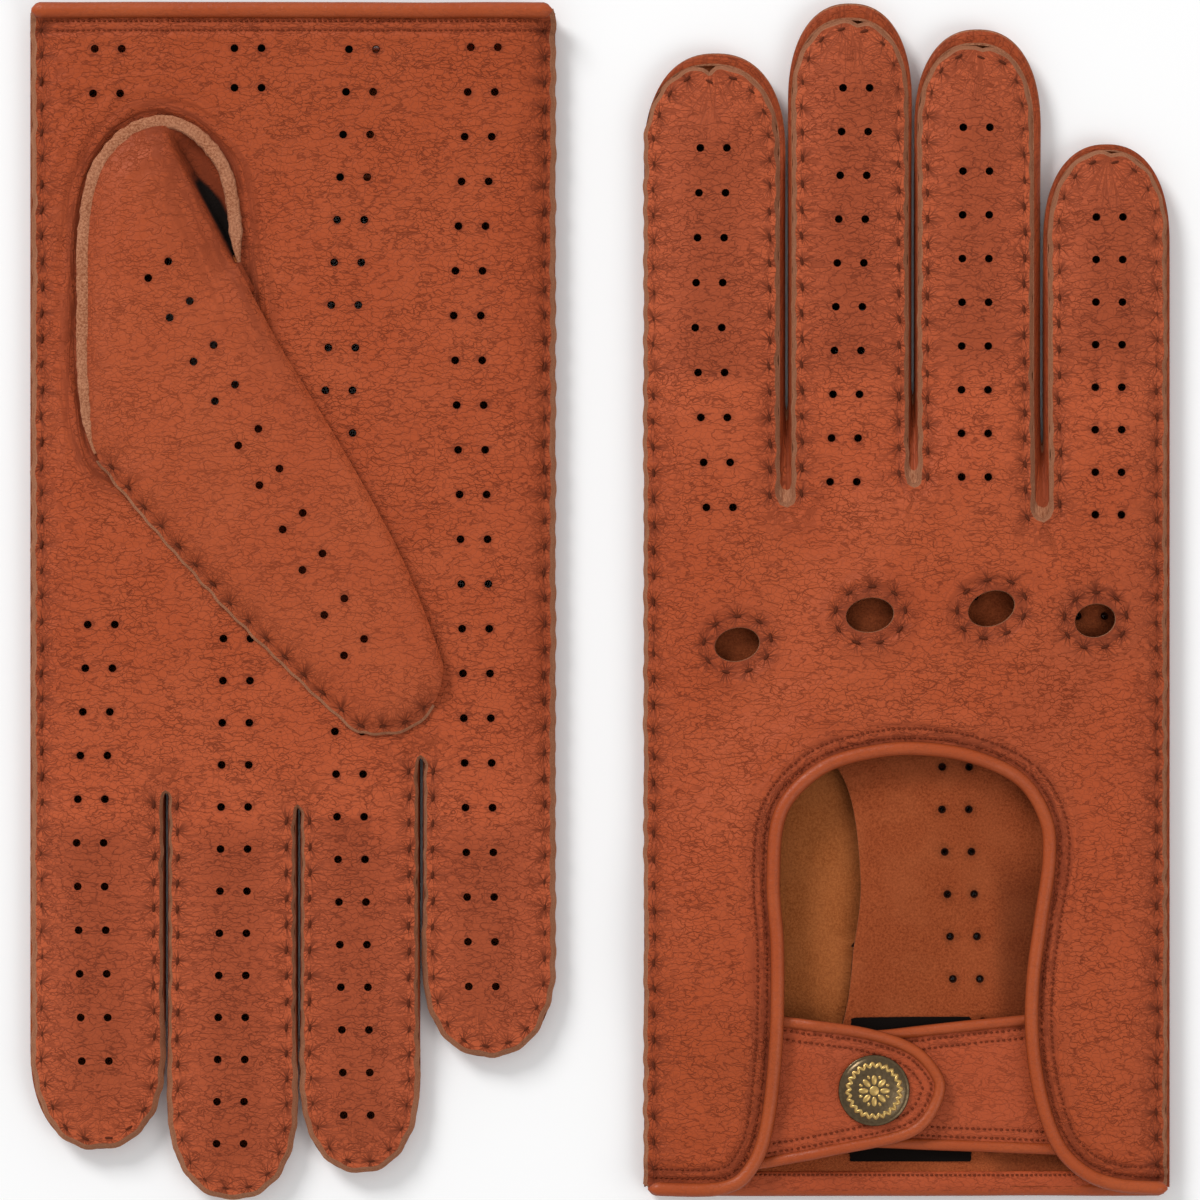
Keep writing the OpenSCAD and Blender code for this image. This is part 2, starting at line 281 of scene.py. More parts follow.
def add_mesh(name, verts, groups, materials, points=None, corners=None):
    """A mesh object. groups is a list of (faces, material index, corner normals or None)."""
    loops, starts, totals, slots, normals = [], [], [], [], []
    at = 0
    for faces, slot, normal in groups:
        if not len(faces):
            continue
        faces = np.asarray(faces, int)
        width = faces.shape[1]
        loops.append(faces.ravel())
        starts.append(at + width * np.arange(len(faces)))
        totals.append(np.full(len(faces), width))
        slots.append(np.full(len(faces), slot))
        at += faces.size
        if normal is None:
            normal = vertex_normals(verts, faces)[0][faces]
        normals.append(np.asarray(normal).reshape(-1, 3))
    loops = np.concatenate(loops)
    used, index = np.unique(loops, return_inverse=True)
    mesh = bpy.data.meshes.new(name)
    mesh.vertices.add(len(used))
    mesh.vertices.foreach_set("co", np.asarray(verts, np.float32)[used].ravel())
    mesh.loops.add(len(loops))
    mesh.loops.foreach_set("vertex_index", index.astype(np.int32))
    mesh.polygons.add(sum(len(t) for t in totals))
    mesh.polygons.foreach_set("loop_start", np.concatenate(starts).astype(np.int32))
    mesh.polygons.foreach_set("loop_total", np.concatenate(totals).astype(np.int32))
    mesh.polygons.foreach_set("material_index", np.concatenate(slots).astype(np.int32))
    mesh.polygons.foreach_set("use_smooth", np.ones(len(np.concatenate(totals)), bool))
    mesh.update(calc_edges=True)
    for label, values in (points or {}).items():
        attribute = mesh.attributes.new(label, "FLOAT_VECTOR", "POINT")
        attribute.data.foreach_set("vector", np.asarray(values, np.float32)[used].ravel())
    for label, values in (corners or {}).items():
        attribute = mesh.attributes.new(label, "FLOAT_VECTOR", "CORNER")
        attribute.data.foreach_set("vector", np.asarray(values, np.float32).ravel())
    mesh.normals_split_custom_set(np.concatenate(normals).tolist())
    for material in materials:
        mesh.materials.append(material)
    obj = bpy.data.objects.new(name, mesh)
    bpy.context.scene.collection.objects.link(obj)
    return obj


def grid_faces(rows, columns, closed=False, start=0):
    """Quads of a grid of points, rows long and columns wide."""
    across = columns if closed else columns - 1
    i, j = np.meshgrid(np.arange(rows - 1), np.arange(across), indexing="ij")
    k = (j + 1) % columns
    quad = np.stack([i * columns + j, i * columns + k, (i + 1) * columns + k,
                     (i + 1) * columns + j], -1).reshape(-1, 4)
    return quad + start


def hex_grid(columns, rows, step, u0, v0):
    """Points of a slightly disturbed triangular grid."""
    jj, ii = np.meshgrid(np.arange(columns), np.arange(rows))
    grid = np.stack([(jj + 0.5 * (ii % 2)) * step + u0, ii * step * HEX + v0], -1).reshape(-1, 2)
    return grid + (rng.random(grid.shape) - 0.5) * step * JITTER


def hole_loops(holes):
    turn = np.linspace(0, TURN, HOLE_SIDES, endpoint=False)
    return [h + HOLE_R * np.stack([np.cos(turn), np.sin(turn)], 1) for h in holes]


def edge_samples(loops):
    """Nearest sample of closed loops."""
    return Nearest(np.concatenate([resample(np.vstack([l, l[:1]]), 0.4) for l in loops]))


def triangulate(loops, lines, grid, keep):
    """Points, triangles and their middles: they follow the closed loops and the open lines."""
    edges, start = [], 0
    for closed, chains in ((True, loops), (False, lines)):
        for chain in chains:
            i = np.arange(len(chain))
            pairs = list(zip((start + i).tolist(), (start + np.roll(i, -1)).tolist()))
            edges += pairs if closed else pairs[:-1]
            start += len(chain)
    points = np.concatenate([*loops, *lines, grid])
    out = delaunay_2d_cdt([Vector(p) for p in points], edges, [], 0, 1e-5, False)
    uv = np.array([(p[0], p[1]) for p in out[0]])
    tri = np.array(out[2])
    mid = uv[tri].mean(1)
    kept = keep(mid)
    tri, mid = tri[kept], mid[kept]
    a, b, c = (uv[tri[:, j]] for j in range(3))
    turn = (b[:, 0] - a[:, 0]) * (c[:, 1] - a[:, 1]) - (b[:, 1] - a[:, 1]) * (c[:, 0] - a[:, 0])
    tri[turn < 0] = tri[turn < 0][:, ::-1]
    return uv, tri, mid


def rim_of(uv, tri):
    """Ends of the edges with one face, that face, and the way out at every point."""
    sides = np.concatenate([tri[:, [0, 1]], tri[:, [1, 2]], tri[:, [2, 0]]])
    pairs = np.sort(sides, 1)
    _, index, count = np.unique(pairs[:, 0] * len(uv) + pairs[:, 1],
                                return_index=True, return_counts=True)
    rim = index[count == 1]
    a, b = sides[rim, 0], sides[rim, 1]
    run = uv[b] - uv[a]
    outward = np.stack([run[:, 1], -run[:, 0]], 1)
    push = np.zeros((len(uv), 2))
    np.add.at(push, a, outward)
    np.add.at(push, b, outward)
    return a, b, rim % len(tri), unit(push)


def knots(uv, face, mid, near_mark, marks):
    """Place of each face corner from its nearest hand stitch, turned with the stitch."""
    nearest, _ = near_mark(mid)
    m = np.array(marks)[nearest]
    offset = uv[face] - m[:, None, :2]
    ca, sa = np.cos(m[:, 2])[:, None], np.sin(m[:, 2])[:, None]
    return np.stack([offset[..., 0] * ca + offset[..., 1] * sa,
                     -offset[..., 0] * sa + offset[..., 1] * ca,
                     np.broadcast_to((nearest * 0.37 % 9)[:, None], offset.shape[:2])], -1)


# ---------------------------------------------------------------- stitches
DASH_RINGS = ((-1.0, 0.3, -0.45), (-0.78, 0.85, -0.08), (-0.35, 1.0, 0.12),
              (0.35, 1.0, 0.12), (0.78, 0.85, -0.08), (1.0, 0.3, -0.45))


def thread(glove, name, marks, body, width=0.27, finish=None):
    """One object with a short thread dash at each mark: u, v, w, angle, half length, up."""
    verts, faces = [], []
    for u, v, w, angle, half, up in marks:
        along = np.array([math.cos(angle), math.sin(angle), 0])
        across = np.array([-math.sin(angle), math.cos(angle), 0])
        lift = np.array([0, 0, up])
        start = len(verts)
        for t, fat, rise in DASH_RINGS:
            for k in range(6):
                turn = k * math.pi / 3
                verts.append(np.array([u, v, w]) + along * t * half
                             + across * width * fat * math.cos(turn)
                             + lift * (rise + width * fat * math.sin(turn)))
        faces.append(grid_faces(len(DASH_RINGS), 6, True, start))
    verts = glove.place(np.array(verts))
    faces = np.concatenate(faces)
    n, _ = vertex_normals(verts, faces)
    centre = verts.reshape(-1, 36, 3).mean(1).repeat(36, 0)
    if np.mean(np.sum(n * (verts - centre), 1)) < 0:
        faces = faces[:, ::-1]
    obj = add_mesh(name, verts, [(faces, 0, None)], [finish or M["thread"]],
                   points={"rest": verts / MM})
    attach(glove, obj, body)


def attach(glove, obj, body):
    """Ride on the body; pieces on a finger, the thumb, the strap or the tab are only baked in place and
    ride on no body.
    """
    if body in FINGERS:
        glove.body("hand")
        glove.body(body)
        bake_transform(obj)
    elif body == "thumb":
        glove.body("hand")
        glove.body("thumb")
        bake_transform(obj)
    elif body == "strap":
        a, b = (glove.place(p) for p in ((27.6, 21.5, 5.4), (34.5, 21.5, 5.4)))
        glove.body("hand")
        glove.body("strap")
        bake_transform(obj)
    elif body == "tab":
        a, b = (glove.place(p) for p in ((76.4, 21.5, 2.7), (70.0, 21.5, 2.7)))
        glove.body("hand")
        glove.body("tab")
        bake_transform(obj)
    else:
        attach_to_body(obj, glove.body(body))


# ---------------------------------------------------------------- leather faces
def insets(glove, side):
    return INSETS.get((glove.name, side), LOWER_INSETS)


def tip_arc(left, right, tip, inset):
    """Finger tip from its right side round to its left side."""
    t = np.linspace(0, math.pi, 61)
    c, s = np.cos(t), np.sin(t)
    mid, half = (left + right) / 2, (right - left) / 2
    u = mid + half * np.sign(c) * np.abs(c) ** (2 / TIP_POWER)
    v = tip - TIP_L + (TIP_L - inset) * np.abs(s) ** (2 / TIP_POWER)
    return np.stack([u, v, np.full(61, 1.1)], 1)


def finger_run(glove, side, k):
    """Cut edge of finger k: up its right side, round the tip and down its left side."""
    l, r, t = insets(glove, side)[k]
    left, right, tip = glove.left[k] + l, glove.right[k] - r, glove.tip[k]
    foot = 2.0
    low = SLOT_LOW[side]
    path = []
    if k == 3:
        path += [(right, foot, SIDE_EDGE), (right, tip - TIP_L - 4, SIDE_EDGE)]
    else:
        mid = glove.slot_mid[k]
        path += [(mid, low[k], 2.9), (mid + 0.7 * (right - mid), low[k] + 0.5, 2.9),
                 (right, low[k] + 2.0, 2.8), (right, tip - 34, SLOT_EDGE)]
    path += tip_arc(left, right, tip, t).tolist()
    if k == 0:
        path += [(left, tip - TIP_L - 4, SIDE_EDGE), (left, foot, SIDE_EDGE)]
    else:
        mid = glove.slot_mid[k - 1]
        path += [(left, tip - 34, SLOT_EDGE), (left, low[k - 1] + 2.0, 2.8),
                 (mid + 0.7 * (left - mid), low[k - 1] + 0.5, 2.9), (mid, low[k - 1], 2.9)]
    return resample(np.array(path), 0.4)


def perforations(side):
    """Centres of the punched holes."""
    def column(v0, v1, count, u_at, gap):
        v = np.linspace(v0, v1, count)
        u = np.interp(v, *zip(*u_at))
        return [(a + s * gap / 2, b) for a, b in zip(u, v) for s in (-1, 1)]
    if side == "front":
        rows = (column(9.4, 18.3, 2, ((9, 15.9), (19, 15.5)), 5.4)
                + column(124.4, 211.6, 11, ((124, 14.5), (165, 12.2), (212, 13.3)), 5.4)
                + column(9.3, 17.2, 2, ((9, 43.8), (18, 43.8)), 5.4)
                + column(127.2, 228.1, 13, ((127, 41.6), (228, 40.2)), 5.4)
                + column(9.5, 222.4, 26, ((9, 66.7), (80, 61.8), (150, 64), (222, 65.6)), 5.4)
                + column(9.1, 196.7, 22, ((9, 91), (60, 87.5), (100, 88.8), (197, 90.6)), 5.4))
    else:
        rows = (column(138, 209.8, 9, ((138, 14.8), (175, 12.5), (210, 13.6)), 5.3)
                + column(143.1, 221.8, 10, ((143, 39.5), (222, 42.1)), 5.3)
                + column(144, 213.9, 9, ((144, 65.6), (214, 66.1)), 5.3)
                + column(136.5, 196, 8, ((136, 92.3), (196, 92.7)), 5.3))
    return np.array(rows)


def knuckle_loop(k, grow=0.0, count=40):
    cu, cv, length, height, tilt = KNUCKLES[k]
    t = np.linspace(0, TURN, count, endpoint=False)
    a, b, r = length / 2 + grow, height / 2 + grow, math.radians(tilt)
    x, y = a * np.cos(t), b * np.sin(t)
    return np.stack([cu + x * math.cos(r) - y * math.sin(r),
                     cv + x * math.sin(r) + y * math.cos(r)], 1)


OPENING_LINE = spline(OPENING, 0.8)
HOLE_LINE = spline(THUMB_HOLE, 0.8)
THUMB_EDGE = spline([BASE_A, (26.2, 106.2), (43, 124.5)] + [
    THUMB_TIP + THUMB_TIP_R * np.array([math.cos(a), math.sin(a)])
    for a in np.radians(np.arange(125, -16, -20))]
    + [(75.5, 113), (68, 98.5), (59.6, 84.0), (50.2, 68.6), BASE_B], 0.8)


def ridges(h, distance, steps):
    """Adds a ridge or groove of each (height, place, width) to the height h."""
    for height, at, wide in steps:
        h = h + height * bell(distance, at, wide)
    return h


def skin(glove, side):
    """Palm or back leather of one glove, as a hand piece and four finger pieces.

    u and v are in the glove's plane, h is the height of the outer face above the middle plane,
    and d is the distance from the cut edge.
    """
    up = -1.0 if side == "front" else 1.0
    seen = (side == "front") == glove.palm_up
    inner_seen = glove.name == "back_up" and side == "front"
    step = 0.92 if seen else 1.25 if inner_seen else 1.8
    seed = GLOVES.index(glove.name) * 2 + (side == "back")
    runs, marks = [], []
    for k in (3, 2, 1, 0):
        path = finger_run(glove, side, k)
        run = arc(path[:, :2])
        inward = left_normals(path[:, :2])
        if seen:
            sway = (0.16 * wave(run, 40 * k, 2.6, seed) + 0.14 * np.cos(TURN * run / PITCH))
            if glove.name == "back_up":
                mid = (glove.left[k] + glove.right[k]) / 2 + (-1.0, 1.5, 1.0, 0.5)[k]
                at_tip = (path[:, 1] > glove.tip[k] - 12) * bell(path[:, 0], mid, 1.1)
                sway += (1.5, 0.5, 0.7, 0.5)[k] * at_tip
            path[:, :2] += inward * sway[:, None]
        count = int(run[-1] // PITCH)
        place = (run[-1] - (count - 1) * PITCH) / 2 + PITCH * np.arange(count)
        line = path[:, :2] + inward * STITCH_IN
        for s in place:
            p, q = along(line, run, s), along(line, run, s + 0.6)
            marks.append((*p, math.atan2(*(q - p)[::-1]) if np.any(q != p) else 0.0, 10 + k))
        runs.append(np.column_stack([path, run + 900 * k]))
    if seen and side == "back":
        for k in range(4):
            loop = knuckle_loop(k, 2.2, 9)
            for j, p in enumerate(loop):
                q = loop[(j + 1) % 9] - loop[j - 1]
                marks.append((*p, math.atan2(q[1], q[0]), 99))
    left, right = runs[-1][-1, 0], runs[0][0, 0]
    if side == "front":
        base = resample([(left, 2.0), (right, 2.0)], 0.8)
    else:
        base = OPENING_LINE[(OPENING_LINE[:, 0] > left + 0.2) & (OPENING_LINE[:, 0] < right - 0.2)]
        base = base.copy()
        base[:, 1] = np.maximum(base[:, 1], 2.0)
    fence = np.concatenate(runs)
    ring = np.concatenate([resample(r[:, :2], step * 0.86)[:-1] for r in runs] + [base])
    gap = np.linalg.norm(ring - np.roll(ring, 1, 0), axis=1)
    ring = ring[gap > 0.12]
    loops = [ring]
    cuts = []
    if side == "front":
        cuts.append(HOLE_LINE[:-1])
    else:
        cuts += [knuckle_loop(k) for k in range(4)]
    loops += cuts
    holes = perforations(side)
    if seen or inner_seen:
        if side == "front":
            holes = holes[~inside(holes, HOLE_LINE[:-1])]
        loops += hole_loops(holes)
    else:
        holes = holes[:0]
    lines = [resample([(glove.left[k] - 0.6, glove.root[k]), (glove.right[k] + 0.6, glove.root[k])], step)
             for k in range(4)]
    near_edge = edge_samples(loops)
    grid = hex_grid(int(glove.width / step) + 3, int(glove.reach / (step * HEX)) + 2, step, -step, 0)
    grid = grid[inside(grid, ring)]
    for c in cuts:
        grid = grid[~inside(grid, c)]
    if len(holes):
        near_hole = Nearest(holes)
        grid = grid[near_hole(grid)[1] > HOLE_R + 0.3]
    grid = grid[near_edge(grid)[1] > step * 0.5]
    for k in range(4):
        grid = grid[(np.abs(grid[:, 1] - glove.root[k]) > step * 0.4)
                    | (grid[:, 0] < glove.left[k] - 1) | (grid[:, 0] > glove.right[k] + 1)]

    def keep(mid):
        good = inside(mid, ring)
        for c in cuts:
            good &= ~inside(mid, c)
        if len(holes):
            good &= near_hole(mid)[1] > HOLE_R * 0.93
        return good

    uv, tri, mid = triangulate(loops, lines, grid, keep)
    u, v = uv[:, 0], uv[:, 1]

    near_fence = Nearest(fence[:, :2])
    who, d = near_fence(uv)
    edge, run = fence[who, 2], fence[who, 3]
    soft = 1 - np.exp(-(np.maximum(d - 0.2, 0) / 3.6) ** 1.25)
    h = edge + (CREST - edge) * soft
    far = smooth(d, 1, 7)
    h += far * (0.22 * wave(u, v, 15, seed) + 0.12 * wave(u, v, 6.5, seed + 1))
    if seen:
        h += 0.16 * bell(d, 0.5, 0.5)
        h -= 0.34 * bell(d, STITCH_IN, 0.55)
        near_mark = Nearest(marks)
        _, dm = near_mark(uv)
        h -= 0.22 * bell(dm, 0, 1.15)
        h += 0.17 * smooth(d, 1.0, 2.0) * np.exp(-d / 4.5) * wave(run, d * 0.2, 2.0, seed)
        on_finger = smooth(v, 140, 170)
        cross = wave(u / 9 + 0.5 * wave(u, v, 9, 3), v, 2.7, seed)
        h += 0.14 * on_finger * far * cross * (0.4 + 0.6 * smooth(wave(u, v, 20, 7), -0.2, 0.6))
        h -= 0.09 * far * ridged(u * 0.8, v * 1.1, 7.0, seed + 4)
    if side == "front":
        near_hand = Nearest(HOLE_LINE)
        along_fold, dh = near_hand(uv)
        fold_line = np.stack([along_fold * 0.8, dh, np.full(len(uv), 1.0)], 1)
        inwards = 0.9 * np.exp(-dh / 2.6)
        h -= inwards * smooth(dh, -1, 2)
        if seen:
            h += 0.34 * np.exp(-dh / 9) * np.cos(TURN * (dh / 3.1 + 0.5 * wave(u, v, 13, 5)))
            h -= 1.2 * np.exp(-dh / 5) * smooth(-wave(u, v, 30, 1), -2, 1)
    else:
        near_open = Nearest(OPENING_LINE)
        along_fold, do = near_open(uv)
        fold_line = np.stack([along_fold * 0.8, do, np.full(len(uv), 0.8)], 1)
        if seen:
            h = ridges(h, do, ((-0.5, 2.1, 0.5), (0.25, 3.0, 0.6), (-0.4, 3.9, 0.45), (0.2, 5.2, 0.8)))
            fold = smooth(do, 5, 7) * np.exp(-do / 8)
            h += 0.45 * fold * np.cos(TURN * (do / 6.5 + 0.6 * wave(u, v, 18, 6)))
        for k in range(4):
            near_knuckle = Nearest(knuckle_loop(k, 0, 60))
            along_fold, dk = near_knuckle(uv)
            closer = dk < fold_line[:, 1]
            knuckle = np.stack([along_fold * 0.5 + 300 + 50 * k, dk + 0.5, np.full(len(uv), 0.7)], 1)
            fold_line[closer] = knuckle[closer]
            h -= 0.25 * bell(dk, 0, 1.6)
            if seen:
                h -= 0.3 * bell(dk, 2.3, 0.6)
                h += 0.22 * bell(dk, 3.6, 1.0)
    if side == "front":
        cuff = bell(v, 2.0, 2.2)
        h = h * (1 - cuff) + 2.75 * cuff
        if seen:
            h = ridges(h, v, ((-0.45, 3.7, 0.45), (0.25, 4.7, 0.6), (-0.42, 5.7, 0.45), (0.2, 6.9, 0.8)))
    h = np.minimum(h, CREST + (0.55 if seen else 0.0))
    if inner_seen:
        h -= ARCH * smooth(d, 6, 24) * smooth(v, 118, 96)
        for cu, cv, *_ in KNUCKLES:
            h -= 2.0 * np.exp(-((u - cu) ** 2 + (v - cv) ** 2) / 55)

    rim_a, rim_b, rim_face, push = rim_of(uv, tri)
    flare = np.zeros(len(uv))
    rim_points = np.unique(np.concatenate([rim_a, rim_b]))
    if seen:
        outer = d[rim_points] < 0.35
        at_seam, at_slot = FLARE[glove.name]
        width = at_slot + (at_seam - at_slot) * smooth(edge[rim_points], 2.6, 1.2)
        flare[rim_points] = np.where(outer, width, 0.12)
    top = np.stack([u, v, MID_W + up * h], 1)
    under = np.stack([u, v, MID_W + up * (h - LEATHER)], 1)
    under[:, :2] += push * flare[:, None]
    if inner_seen:
        punch = (near_hole(uv)[1] < HOLE_R * 1.1) & (np.abs(push).sum(1) > 0)
        top[punch, :2] += push[punch] * 0.45

    face = tri if up > 0 else tri[:, ::-1]
    verts = glove.place(np.concatenate([top, under]))
    count = len(uv)
    top_n, _ = vertex_normals(verts, face)
    under_face = face[:, ::-1] + count
    under_n, _ = vertex_normals(verts, under_face)
    wall = np.stack([rim_a, rim_b, rim_b + count, rim_a + count], 1)
    wall = wall[:, ::-1] if up > 0 else wall
    grain = np.concatenate([uv, (h + 40 * seed)[:, None]], 1)
    grain = np.concatenate([grain, grain + [0, 0, 20]])
    # Painted shade, kept in the seam attribute: darker along the stitch groove, beside the machine-sewn
    # rows and round the punched holes, where shade falls.
    painted_shade = np.zeros(count)
    if seen:
        painted_shade += 0.22 * bell(d, STITCH_IN, 0.5)
        rows = ((do, 2.2), (do, 3.95)) if side == "back" else ((v, 3.75), (v, 5.7))
        for beside_row, at in rows:
            painted_shade += 0.38 * bell(beside_row, at, 0.42)
    if len(holes):
        _, dp = near_hole(uv)
        painted_shade += 0.35 * bell(dp, HOLE_R, 0.35)
    # Painted shade on the inner suede seen through the open back: darker at the right of the opening,
    # deeper inside past the top of the opening, and round the punched holes.
    inner_painted_shade = np.zeros(count)
    if inner_seen:
        inner_painted_shade += 0.42 * smooth(u, 68, 73) * smooth(v, 72, 60) + 0.30 * smooth(v, 80, 92)
        inner_painted_shade += 0.35 * bell(near_hole(uv)[1], HOLE_R, 0.4)
    seam = np.stack([run + 50 * seed, d, painted_shade], 1)
    seam = np.concatenate([seam, np.stack([run, d, inner_painted_shade], 1)])
    if not seen:
        fold_line[:, 2] = 0
    fold_line = np.concatenate([fold_line, fold_line])
    if seen:
        knot = knots(uv, face, mid, near_mark, marks)
    else:
        knot = np.full((len(face), 3, 3), NO_KNOT)

    punched = near_hole(uv[rim_a])[1] < HOLE_R * 1.1 if len(holes) else np.zeros(len(rim_a), bool)
    part = np.zeros(len(tri), int)
    for k in range(4):
        low = glove.left[k] - 0.6
        high = glove.right[k] + 0.6
        part[(mid[:, 0] > low) & (mid[:, 0] < high) & (mid[:, 1] > glove.root[k])] = k + 1
    face_word = "palm" if side == "front" else "back"
    for k in range(5):
        mine = part == k
        ring_mine = part[rim_face] == k
        cut, punch = wall[ring_mine & ~punched], wall[ring_mine & punched]
        corner = knot[mine].reshape(-1, 3)
        blank = np.full((3 * mine.sum() + 4 * ring_mine.sum(), 3), NO_KNOT)
        body = "hand" if k == 0 else FINGERS[k - 1]
        name = f"{glove.name}_{face_word}_leather" if k == 0 else f"{glove.name}_{body}_{face_word}_leather"
        tip = (0, -500)
        if seen and side == "back" and k > 0:
            tip = ((glove.left[k - 1] + glove.right[k - 1]) / 2, glove.tip[k - 1] - 3.0)
        fan = np.column_stack([uv - tip, np.full(count, k)])
        fan = np.concatenate([fan, fan])
        obj = add_mesh(name, verts, [
            (face[mine], 0, top_n[face[mine]]),
            (under_face[mine], 1, under_n[under_face[mine]]),
            (cut, 2, None),
            (punch, 3, None),
        ], [M["leather"], M["suede"], M["raw"], M["punched"]],
            points={"rest": grain, "seam": seam, "fold": fold_line, "fan": fan},
            corners={"knot": np.concatenate([corner, blank])})
        attach(glove, obj, body)
        if k == 0:
            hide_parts(f"{glove.name}_{'palm' if side == 'front' else 'back'}_panel")
        else:
            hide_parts(f"{glove.name}_{body}_{side}")

    if inner_seen:
        look = Nearest(uv)
        across = np.arange(3.0, glove.width - 2.9, 0.8)
        spots, _ = look(np.column_stack([across, np.full(len(across), 3.9)]))
        floor_w = MID_W - (h[spots] - LEATHER)
        floor_w = np.convolve(np.pad(floor_w, 4, "edge"), np.ones(9) / 9, "valid")
        profile = ((0.9, -0.10), (1.6, 0.42), (2.6, 0.50), (3.8, 0.46), (4.6, 0.36),
                   (5.0, 0.10), (5.05, -0.4))
        strip = np.stack([np.column_stack([across, at + 0.05 * wave(across, at, 3, 2),
                                           floor_w + rise + 0.04 * wave(across, at * 2, 2.5, 8)])
                          for at, rise in profile], 1).reshape(-1, 3)
        strip_faces = grid_faces(len(across), len(profile))
        a, b, c = (glove.place(strip)[strip_faces[:, j]] for j in range(3))
        if np.cross(b - a, c - a)[:, 2].sum() < 0:
            strip_faces = strip_faces[:, ::-1]
        hem = add_mesh(f"{glove.name}_cuff_facing", glove.place(strip), [(strip_faces, 0, None)],
                       [M["strap"]], {"rest": strip, "seam": np.tile((0.0, 30.0, 0.0), (len(strip), 1))})
        attach(glove, hem, "hand")
        at = np.arange(6.0, glove.width - 6, 0.95)
        row = [(x, 4.35, np.interp(x, across, floor_w) + 0.44, 0.2, 0.36, 1) for x in at]
        thread(glove, f"{glove.name}_facing_stitches", row, "hand", 0.18, M["sewing"])
    if seen:
        look = Nearest(uv)
        spots, _ = look(np.array([m[:2] for m in marks]))
        by_body = {}
        for m, spot in zip(marks, spots):
            if m[1] < 4:
                continue
            k = int(m[3]) - 10
            body = FINGERS[k] if k < 4 and m[1] > glove.root[k] + 1.2 else "hand"
            by_body.setdefault(body, []).append(
                (m[0], m[1], MID_W + up * (h[spot] + 0.05), m[2], 1.05, up))
        if side == "back":
            word, line, offsets = "opening", OPENING_LINE, (2.2, 3.95)
        else:
            word, line, offsets = "cuff", resample([(1.5, 0.0), (glove.width - 1.5, 0.0)], 0.8), (3.75, 5.7)
        sewn = [m for offset in offsets for m in row_stitches(line, offset, look, h, up)]
        thread(glove, f"{glove.name}_{word}_stitches", sewn, "hand", 0.19, M["sewing"])
        for body, rows in by_body.items():
            thread(glove, f"{glove.name}_{body}_stitches", rows, body)


def row_stitches(line, offset, look, h, up):
    """A machine-sewn row beside a line, clear of the skin's ends."""
    row = resample(line + left_normals(line) * offset, 0.5)
    run = arc(row)
    at = np.arange(2.0, run[-1] - 2.0, SEWN_PITCH)
    p, q = along(row, run, at), along(row, run, at + 0.5)
    spots, away = look(p)
    good = (away < 1.2) & (p[:, 0] > 1.2) & (p[:, 0] < 103.8)
    return [(*a, MID_W + up * (h[s] + 0.04), math.atan2(*(b - a)[::-1]) + 0.25, SEWN_PITCH * 0.38, up)
            for a, b, s, g in zip(p, q, spots, good) if g]


# ---------------------------------------------------------------- materials
M = {}


